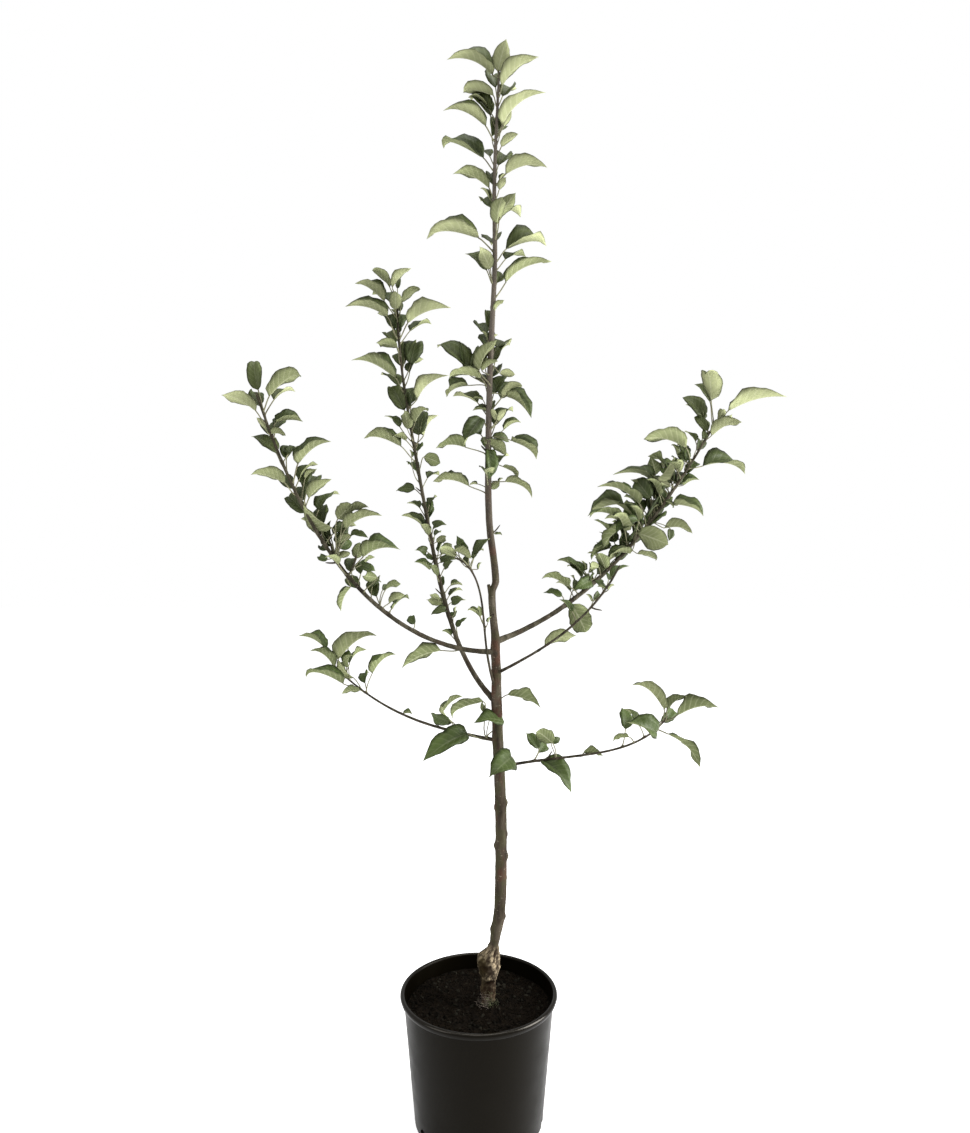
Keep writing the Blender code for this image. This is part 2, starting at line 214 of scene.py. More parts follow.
def addRings(shape, rings, closeStart=True, finish=0, relief=None):
    # rings run along the piece, turning anticlockwise about its direction; relief is a value from
    # 0, deep in a crevice, to 1, proud, which the bark's colour reads from the UV map for its painted
    # shade and highlight
    values = relief or [[0.5] * len(ring) for ring in rings]
    made = [[addPoint(shape, point, (value, index / len(rings))) for point, value in zip(ring, row)]
            for index, (ring, row) in enumerate(zip(rings, values))]
    for lower, upper in zip(made, made[1:]):
        for i in range(len(lower)):
            j = (i + 1) % len(lower)
            addFace(shape, (lower[i], lower[j], upper[j], upper[i]), finish)
    if closeStart:
        addFace(shape, tuple(reversed(made[0])), finish)
    addFace(shape, tuple(made[-1]), finish)


def levelWay(angle):
    return Vector((math.cos(angle), math.sin(angle), 0))


def fullTurn(count):
    return [2 * math.pi * i / count for i in range(count)]


def ringAround(centre, axis, across, radii):
    up = axis.cross(across).normalized()
    step = 2 * math.pi / len(radii)
    turned = [(across * math.cos(step * i) + up * math.sin(step * i)) for i in range(len(radii))]
    return [centre + way * radius for way, radius in zip(turned, radii)]


def untwisted(axes):
    # one crosswise direction for each ring, carried along without twist
    across = Vector((1, 0, 0)) if axes[0].angle(upward) < 0.05 else upward.cross(axes[0])
    carried = []
    for axis in axes:
        across = (across - axis * across.dot(axis)).normalized()
        carried.append(across.copy())
    return carried


def applyNodes(made, tree, values):
    # inputs are set by identifier before the object is first evaluated
    modifier = made.modifiers.new("growth", "NODES")
    modifier.node_group = tree
    identifiers = {item.name: item.identifier for item in tree.interface.items_tree}
    for name, value in values.items():
        modifier[identifiers[name]] = value
    depsgraph = bpy.context.evaluated_depsgraph_get()
    mesh = bpy.data.meshes.new_from_object(made.evaluated_get(depsgraph))
    name = made.name
    made.modifiers.remove(modifier)
    bpy.data.objects.remove(made, do_unlink=True)
    mesh.name = name
    return addObject(name, mesh)


def newTree(name, inputs):
    tree = bpy.data.node_groups.new(name, "GeometryNodeTree")
    tree.interface.new_socket("Geometry", in_out="INPUT", socket_type="NodeSocketGeometry")
    for label, kind in inputs:
        tree.interface.new_socket(label, in_out="INPUT", socket_type=kind)
    tree.interface.new_socket("Geometry", in_out="OUTPUT", socket_type="NodeSocketGeometry")
    return tree, addNode(tree, "NodeGroupInput"), addNode(tree, "NodeGroupOutput")


# Pot: a turned shell with a rolled rim and drainage slots round the corner of its base
pot = {
    "height": 0.242,
    "rimRadius": 0.140,
    "mouthRadius": 0.1315,
    "rimDepth": 0.0115,
    "baseRadius": 0.1148,
    "wallSlope": 0.0806,
    "wall": 0.0024,
    "floor": 0.003,
    "corner": 0.006,
    "footFlat": 0.05,  # radius of the flat middle of its base
    "edge": 0.0006,  # small bevel under the rim
    "sides": 144,
    "slotCount": 8,
    "slotFirstBearing": -11.0,
    "slotWidth": 0.018,
    "slotHeight": 0.024,
    "slotReach": (0.098, 0.130),
    "roundSteps": 8,
    "wallSteps": 10,
    "crownMargin": 0.001,  # how far outside the mouth the shiny crown of the rim starts
    "crownTilt": 0.3,
    "sharpAngle": 35,
    "colour": (0.0022, 0.0016, 0.0006),
    "dust": (0.0066, 0.0056, 0.0038),
    "wallGloss": 0.055,
    "rimGloss": 0.32,
    "glossTint": (1.0, 0.93, 0.82),
    "wallRoughness": (0.30, 0.42),
    "rimRoughness": (0.15, 0.24),
    "roughness": 0.36,
    "scuffScale": 34.0,
    "dustScale": 7.0,
    "dustShare": 0.4,
    "pebbleScale": 420.0,
    "pebbleDepth": 0.0004,
}


def arc(centre, radius, start, end, steps):
    turns = [math.radians(start + (end - start) * i / steps) for i in range(steps + 1)]
    return [(centre[0] + radius * math.cos(a), centre[1] + radius * math.sin(a)) for a in turns]


def wallRadius(height):
    return pot["baseRadius"] + pot["wallSlope"] * height


def innerCorner():
    return wallRadius(pot["corner"]) - pot["wall"] - pot["corner"], pot["floor"] + pot["corner"]


def innerRadius(height):
    lowRadius, low = innerCorner()[0] + pot["corner"], innerCorner()[1]
    high = pot["height"] - (pot["rimRadius"] - pot["mouthRadius"]) / 2
    return lowRadius + (pot["mouthRadius"] - lowRadius) * (height - low) / (high - low)


def evenly(start, end, steps):
    return [tuple(first + (last - first) * i / steps for first, last in zip(start, end))
            for i in range(1, steps)]


def potProfile():
    lip = (pot["rimRadius"] - pot["mouthRadius"]) / 2
    rimFoot = pot["height"] - pot["rimDepth"]
    steps = pot["roundSteps"]
    outer = arc((wallRadius(pot["corner"]) - pot["corner"], pot["corner"]), pot["corner"], -90, 0, steps)
    skirt = pot["rimRadius"] - lip / 2
    profile = [(0.0, 0.0), (pot["footFlat"], 0.0)] + outer
    profile += evenly(outer[-1], (wallRadius(rimFoot), rimFoot), pot["wallSteps"])
    profile += [(wallRadius(rimFoot), rimFoot), (skirt - pot["edge"], rimFoot),
                (skirt, rimFoot + pot["edge"])]
    bead = arc((pot["mouthRadius"] + lip, pot["height"] - lip), lip, 0, 180, 2 * steps)
    inner = arc(innerCorner(), pot["corner"], 0, -90, steps)
    profile += bead + evenly(bead[-1], inner[0], pot["wallSteps"]) + inner
    return profile + [(pot["footFlat"], pot["floor"]), (0.0, pot["floor"])]


def turnedShape(profile, sides):
    shape = bmesh.new()
    corners = [shape.verts.new((radius, 0, height)) for radius, height in profile]
    edges = [shape.edges.new(pair) for pair in zip(corners, corners[1:])]
    bmesh.ops.spin(shape, geom=corners + edges, cent=(0, 0, 0), axis=(0, 0, 1), angle=2 * math.pi,
                   steps=sides)
    bmesh.ops.remove_doubles(shape, verts=shape.verts, dist=0.00001)
    bmesh.ops.recalc_face_normals(shape, faces=shape.faces)
    return shape


def slotCutter():
    # eight round-topped posts in one mesh
    half = pot["slotWidth"] / 2
    outline = [(-half, -half), (half, -half)]
    outline += arc((0.0, pot["slotHeight"] - half), half, 0, 180, 2 * pot["roundSteps"])
    shape = newShape()
    for index in range(pot["slotCount"]):
        out = levelWay(math.radians(pot["slotFirstBearing"] + 360 / pot["slotCount"] * index))
        side = upward.cross(out)
        rings = [[out * reach + side * across + upward * up for across, up in outline]
                 for reach in pot["slotReach"]]
        addRings(shape, rings)
    return makePiece("slotCutter", shape, [])


def potPlastic(name, specular, roughness):
    material, tree, shader = newMaterial(name, pot["roughness"], specular)
    shader.inputs["Specular Tint"].default_value = (*pot["glossTint"], 1)
    scuff = objectNoise(tree, pot["scuffScale"], 6.0)
    dusty = mapRange(tree, objectNoise(tree, pot["dustScale"], 5.0), 0.52, 0.8, 0.0, pot["dustShare"])
    link(tree, mixColour(tree, dusty, pot["colour"], pot["dust"]), shader.inputs["Base Color"])
    link(tree, mapRange(tree, scuff, 0.3, 0.7, *roughness), shader.inputs["Roughness"])
    addBump(tree, shader, objectNoise(tree, pot["pebbleScale"], 2.0), pot["pebbleDepth"], 0.25)
    return material


def makePot():
    mesh = bpy.data.meshes.new("potShell")
    shape = turnedShape(potProfile(), pot["sides"])
    shape.to_mesh(mesh)
    shape.free()
    shell = addObject("potShell", mesh)
    cutter = slotCutter()
    cut = shell.modifiers.new("drainage slots", "BOOLEAN")
    cut.operation = "DIFFERENCE"
    cut.solver = "EXACT"
    cut.object = cutter
    depsgraph = bpy.context.evaluated_depsgraph_get()
    holed = bpy.data.meshes.new_from_object(shell.evaluated_get(depsgraph))
    shell.modifiers.remove(cut)
    shell.data = holed
    bpy.data.objects.remove(cutter, do_unlink=True)
    holed.materials.clear()
    holed.materials.append(potPlastic("blackPotPlastic", pot["wallGloss"], pot["wallRoughness"]))
    holed.materials.append(potPlastic("blackRimPlastic", pot["rimGloss"], pot["rimRoughness"]))
    for face in holed.polygons:  # only the crown of the rolled rim is shiny
        outside = math.hypot(face.center.x, face.center.y) > pot["mouthRadius"] + pot["crownMargin"]
        face.material_index = int(outside and face.normal.z > pot["crownTilt"])
    holed.shade_smooth()
    holed.set_sharp_from_angle(angle=math.radians(pot["sharpAngle"]))
    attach(shell, "root")
    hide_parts("nursery_pot")
    print("pot made")


# Potting mix: a dark body that fills the pot, with an uneven top under loose crumbs
mix = {
    "level": 0.214,
    "gap": 0.0003,
    "sides": 120,
    "topRings": 40,
    "unevenness": 0.0036,
    "mound": 0.009,  # the mix is heaped a little against the trunk
    "moundHalf": 0.036,
    "heaps": ((1, 22, 3.1), (0.55, 90, 7.7)),  # share of the unevenness, how close, seed
    "sunk": 0.0005,  # the body's top is this much lower, to leave room for the crumbs
    "wallRows": (0.02, 0.06, 0.10, 0.14, 0.18, 0.208),  # heights up the wall
    "dark": (0.0022, 0.0017, 0.0011),
    "brown": (0.0085, 0.0058, 0.0034),
    "straw": (0.030, 0.025, 0.017),
    "chip": (0.024, 0.022, 0.016),
    "finishes": {"crumbMix": ("dark", "brown", 60.0), "fibreMix": ("brown", "straw", 30.0),
                 "chipMix": ("dark", "chip", 45.0)},
    "kinds": (  # name, finish, number to the square metre, size, seed, least and most stretch
        ("mixLumps", "chipMix", 2600.0, 0.0042, 6, (0.6, 0.5, 0.25), (1.9, 1.3, 0.6)),
        ("mixCrumbs", "crumbMix", 62000.0, 0.0019, 4, (0.5, 0.5, 0.4), (1.6, 1.5, 1.1)),
        ("mixFibres", "fibreMix", 5200.0, 0.0011, 9, (0.3, 0.3, 1.5), (0.7, 0.6, 5.0)),
    ),
    "grainScale": 480.0,
    "grainShove": 0.0022,
}


def mixHeight(x, y):
    uneven = sum(share * noise.noise(Vector((x * scale, y * scale, seed)))
                 for share, scale, seed in mix["heaps"])
    off = math.hypot(x - trunk["line"][0][1], y) / mix["moundHalf"]
    mound = mix["mound"] * math.exp(-off * off)
    return mix["level"] + mix["unevenness"] * uneven + mound - mix["sunk"]


def mixMaterial(name, first, second, scale):
    stops = [(0.35, first), (0.68, second)]
    return grainedMaterial(name, 0.95, 0.05, (scale, 6.0), stops, (scale * 4, 5.0, 0.0012, 0.8))


def mixRings():
    gap, turns = mix["gap"], fullTurn(mix["sides"])
    profile = arc(innerCorner(), pot["corner"] - gap, -90, 0, 4)
    profile += [(innerRadius(height) - gap, height) for height in mix["wallRows"]]
    rings = [[Vector((r * math.cos(a), r * math.sin(a), z)) for a in turns] for r, z in profile]
    edge = innerRadius(mix["level"]) - gap
    for step in range(mix["topRings"]):
        radius = edge * (1 - step / mix["topRings"])
        flat = [(radius * math.cos(a), radius * math.sin(a)) for a in turns]
        rings.append([Vector((x, y, mixHeight(x, y))) for x, y in flat])
    return rings


def scatterTree(name):
    inputs = (("Density", "NodeSocketFloat"), ("Size", "NodeSocketFloat"), ("Seed", "NodeSocketInt"),
              ("Least", "NodeSocketVector"), ("Most", "NodeSocketVector"),
              ("Finish", "NodeSocketMaterial"))
    tree, given, result = newTree(name, inputs)
    points = addNode(tree, "GeometryNodeDistributePointsOnFaces")
    grain = addNode(tree, "GeometryNodeMeshIcoSphere", inputs={"Subdivisions": 1})
    turn = addNode(tree, "FunctionNodeRandomValue", {"data_type": "FLOAT_VECTOR"})
    turn.inputs[1].default_value = (6.28, 6.28, 6.28)
    scale = addNode(tree, "FunctionNodeRandomValue", {"data_type": "FLOAT_VECTOR"})
    grow = addNode(tree, "ShaderNodeVectorMath", {"operation": "SCALE"})
    place = addNode(tree, "GeometryNodeInstanceOnPoints")
    realize = addNode(tree, "GeometryNodeRealizeInstances")
    lump = addNode(tree, "ShaderNodeTexNoise", inputs={"Scale": mix["grainScale"], "Detail": 1.0})
    centred = addNode(tree, "ShaderNodeVectorMath", {"operation": "SUBTRACT"})
    centred.inputs[1].default_value = (0.5, 0.5, 0.5)
    shove = addNode(tree, "ShaderNodeVectorMath", {"operation": "SCALE"}, {"Scale": mix["grainShove"]})
    move = addNode(tree, "GeometryNodeSetPosition")
    finish = addNode(tree, "GeometryNodeSetMaterial")
    linkAll(tree, (
        (given, "Geometry", points, "Mesh"), (given, "Density", points, "Density"),
        (given, "Seed", points, "Seed"), (given, "Seed", turn, "Seed"), (given, "Seed", scale, "Seed"),
        (given, "Size", grow, "Scale"), (given, "Least", scale, 0), (given, "Most", scale, 1),
        (scale, 0, grow, 0), (points, "Points", place, "Points"), (grain, "Mesh", place, "Instance"),
        (turn, 0, place, "Rotation"), (grow, 0, place, "Scale"),
        (place, "Instances", realize, "Geometry"), (lump, "Color", centred, 0),
        (centred, 0, shove, 0), (realize, "Geometry", move, "Geometry"), (shove, 0, move, "Offset"),
        (move, "Geometry", finish, "Geometry"), (given, "Finish", finish, "Material"),
        (finish, "Geometry", result, "Geometry"),
    ))
    return tree


def topOnly(name):
    # the mix's top as a bare surface for the crumbs to lie on, clear of the wall
    rings = mixRings()[-mix["topRings"] + 1:]
    shape = newShape()
    addRings(shape, rings, closeStart=False)
    return makePiece(name, shape, [])


def makeMix():
    shape = newShape()
    addRings(shape, mixRings())
    body = makePiece("mixBody", shape, [mixMaterial("darkMix", mix["dark"], mix["brown"], 160.0)])
    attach(body, "root")
    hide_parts("potting_mix")
    tree = scatterTree("looseCrumbs")
    finishes = {name: mixMaterial(name, mix[first], mix[second], scale)
                for name, (first, second, scale) in mix["finishes"].items()}
    for name, finish, density, size, seed, least, most in mix["kinds"]:
        values = {"Density": density, "Size": size, "Seed": seed, "Least": least, "Most": most,
                  "Finish": finishes[finish]}
        crumbs = applyNodes(topOnly(name), tree, values)
        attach(crumbs, "root")
    print("potting mix made")


# Growth lines: the trunk's places and radii by height, and the boughs that leave it
trunk = {
    "line": (  # height, sideways place, depth
        (0.214, 0.0170, 0.000), (0.290, 0.0170, 0.002), (0.308, 0.0190, 0.0026),
        (0.322, 0.0262, 0.0029), (0.345, 0.0302, 0.003), (0.372, 0.0352, 0.0025),
        (0.408, 0.0382, 0.0014), (0.463, 0.0392, 0.000), (0.576, 0.0388, -0.004),
        (0.700, 0.0334, -0.004), (0.870, 0.0288, 0.000), (0.955, 0.0229, 0.002),
        (0.976, 0.0296, 0.003), (1.070, 0.0190, 0.006), (1.150, 0.0165, 0.007),
        (1.320, 0.0192, 0.004), (1.510, 0.0274, -0.002), (1.640, 0.0267, -0.005),
        (1.809, 0.0339, -0.008),
    ),
    "radii": (  # height, radius; the swelling near the foot is the graft union
        (0.214, 0.0122), (0.244, 0.0122), (0.258, 0.0126), (0.271, 0.0156), (0.284, 0.0203),
        (0.298, 0.0205), (0.309, 0.0170), (0.317, 0.0118), (0.324, 0.0084), (0.338, 0.0092),
        (0.360, 0.0102), (0.450, 0.0103), (0.620, 0.0099), (0.720, 0.0092), (0.820, 0.0082),
        (0.900, 0.0066), (0.960, 0.0062), (1.050, 0.0060), (1.250, 0.0051), (1.500, 0.0040),
        (1.700, 0.0028), (1.809, 0.0018),
    ),
    "foot": 0.207,
    "unionTop": 0.330,
    "step": 0.0021,
    "sides": 36,
    "nubs": (  # height, bearing, how far it stands out, its half width
        (0.587, 5, 0.0032, 0.0055), (0.579, 185, 0.0020, 0.0060), (0.530, 0, 0.0018, 0.0055),
        (0.509, 182, 0.0030, 0.0060), (0.490, -8, 0.0034, 0.0060), (0.355, 176, 0.0022, 0.0060),
        (0.377, 4, 0.0024, 0.0055), (0.404, 250, 0.0012, 0.0045), (0.624, 262, 0.0014, 0.0040),
        (0.326, 205, 0.0045, 0.0034), (0.311, 212, 0.0022, 0.0066), (0.302, 335, 0.0018, 0.0080),
        (0.289, 246, -0.0055, 0.0095), (0.284, 318, 0.0020, 0.0050), (0.2605, 266, -0.0036, 0.0034),
        (0.2690, 240, 0.0018, 0.0036), (0.2680, 276, 0.0020, 0.0034), (0.2615, 300, -0.0028, 0.0030),
        (0.275, 100, 0.0025, 0.0070), (0.303, 60, 0.0030, 0.0080), (0.300, 140, 0.0040, 0.0075),
        (0.272, 20, 0.0030, 0.0060),
    ),
    "budEnd": ((0.002, 0.9), (0.0045, 0.55), (0.0062, 0.15)),  # height and width of its rings
    "proudTone": 1.6,  # how strongly the relief shows in the bark's colour, as painted shade in hollows and painted highlight on proud places
    "collarLift": 0.002,  # the swelling round the foot of each bough
    "collarHalf": 0.013,
    "collarShare": 0.34,  # of the bough's radius
    "ringScars": (0.449, 1.385, 1.437),
    "ringOut": 0.0007,
    "ringHalf": 0.0022,
    "eyeScar": {"height": 0.918, "bearing": 266, "reach": 0.0031, "half": 0.0010, "out": 0.0013},
    "stub": {"foot": (0.0220, 0.0008, 0.943), "top": (0.0171, 0.0, 0.970), "radii": (0.0046, 0.0028),
             "taper": 0.6, "cutEdge": 0.86, "unevenness": 0.09, "sides": 16,
             "shares": (0, 0.15, 0.3, 0.45, 0.6, 0.75, 0.88, 0.96, 1.0)},
}

boughs = {  # foot height, bearing at foot and tip, rise at four even places, length, radii
    "secondLeader": {"foot": 0.764, "bearing": (140, 130), "rise": (30, 72, 75, 93),
                     "length": 0.777, "radii": (0.0050, 0.0020)},
    "leftBough": {"foot": 0.853, "bearing": (200, 212), "rise": (2, 38, 61, 71),
                  "length": 0.621, "radii": (0.0046, 0.0020)},
    "rightBough": {"foot": 0.871, "bearing": (30, 24), "rise": (12, 33, 48, 55),
                   "length": 0.625, "radii": (0.0052, 0.0020)},
    "innerShoot": {"foot": 0.780, "bearing": (225, 215), "rise": (66, 81, 77, 18),
                   "length": 0.264, "radii": (0.0024, 0.0016)},
    "underRightShoot": {"foot": 0.815, "bearing": (-46, -38), "rise": (27, 31, 42, 61),
                        "length": 0.325, "radii": (0.0027, 0.0016)},
    "lowerLeftBough": {"foot": 0.697, "bearing": (150, 142), "rise": (3, 6, 18, 29),
                       "length": 0.393, "radii": (0.0032, 0.0017)},
    "lowerRightBough": {"foot": 0.651, "bearing": (-30, -24), "rise": (17, 14, 20, 57),
                        "length": 0.324, "radii": (0.0028, 0.0016)},
}


def between(table, at):
    # smooth value between the rows of a table whose first column rises
    if at <= table[0][0]:
        return list(table[0][1:])
    if at >= table[-1][0]:
        return list(table[-1][1:])
    row = next(i for i in range(len(table) - 1) if table[i][0] <= at <= table[i + 1][0])
    first, second = table[row], table[row + 1]
    before, after = table[max(row - 1, 0)], table[min(row + 2, len(table) - 1)]
    span = second[0] - first[0]
    share = (at - first[0]) / span
    square, cube = share ** 2, share ** 3
    values = []
    for column in range(1, len(first)):
        start = (second[column] - before[column]) / (second[0] - before[0]) * span
        end = (after[column] - first[column]) / (after[0] - first[0]) * span
        values.append((2 * cube - 3 * square + 1) * first[column] + (cube - 2 * square + share) * start
                      + (3 * square - 2 * cube) * second[column] + (cube - square) * end)
    return values


def trunkPoint(height):
    x, y = between(trunk["line"], height)
    return Vector((x, y, height))


def heading(rise, bearing):
    rise, bearing = math.radians(rise), math.radians(bearing)
    return Vector((math.cos(rise) * math.cos(bearing), math.cos(rise) * math.sin(bearing),
                   math.sin(rise)))


def throughFour(values, share):
    total = 0.0
    for i, value in enumerate(values):
        weight = 1.0
        for j in range(4):
            if j != i:
                weight *= (share - j / 3) / (i / 3 - j / 3)
        total += weight * value
    return total


def boughPoints(bough, samples=48):
    points = [trunkPoint(bough["foot"])]
    first, last = bough["bearing"]
    for i in range(samples):
        share = (i + 0.5) / samples
        way = heading(throughFour(bough["rise"], share), first + (last - first) * share)
        points.append(points[-1] + way * bough["length"] / samples)
    return points


boughLines = {name: boughPoints(bough) for name, bough in boughs.items()}


def pointAlong(points, share):
    place = min(max(share, 0.0), 1.0) * (len(points) - 1)
    first = min(int(place), len(points) - 2)
    return points[first].lerp(points[first + 1], place - first)


def placeOn(limb, share):
    # a point on a limb: the leader is measured by height, a bough by the fraction of its length
    return trunkPoint(share) if limb == "leader" else pointAlong(boughLines[limb], share)


def directionOn(limb, share):
    reach = 0.015 if limb == "leader" else 0.03
    return (placeOn(limb, share + reach) - placeOn(limb, share - reach)).normalized()


def radiusOn(limb, share):
    if limb == "leader":
        return between(trunk["radii"], share)[0]
    foot, tip = boughs[limb]["radii"]
    swell = 0.3 * math.exp(-share * boughs[limb]["length"] / 0.024)
    return (foot + (tip - foot) * share) * (1 + swell)


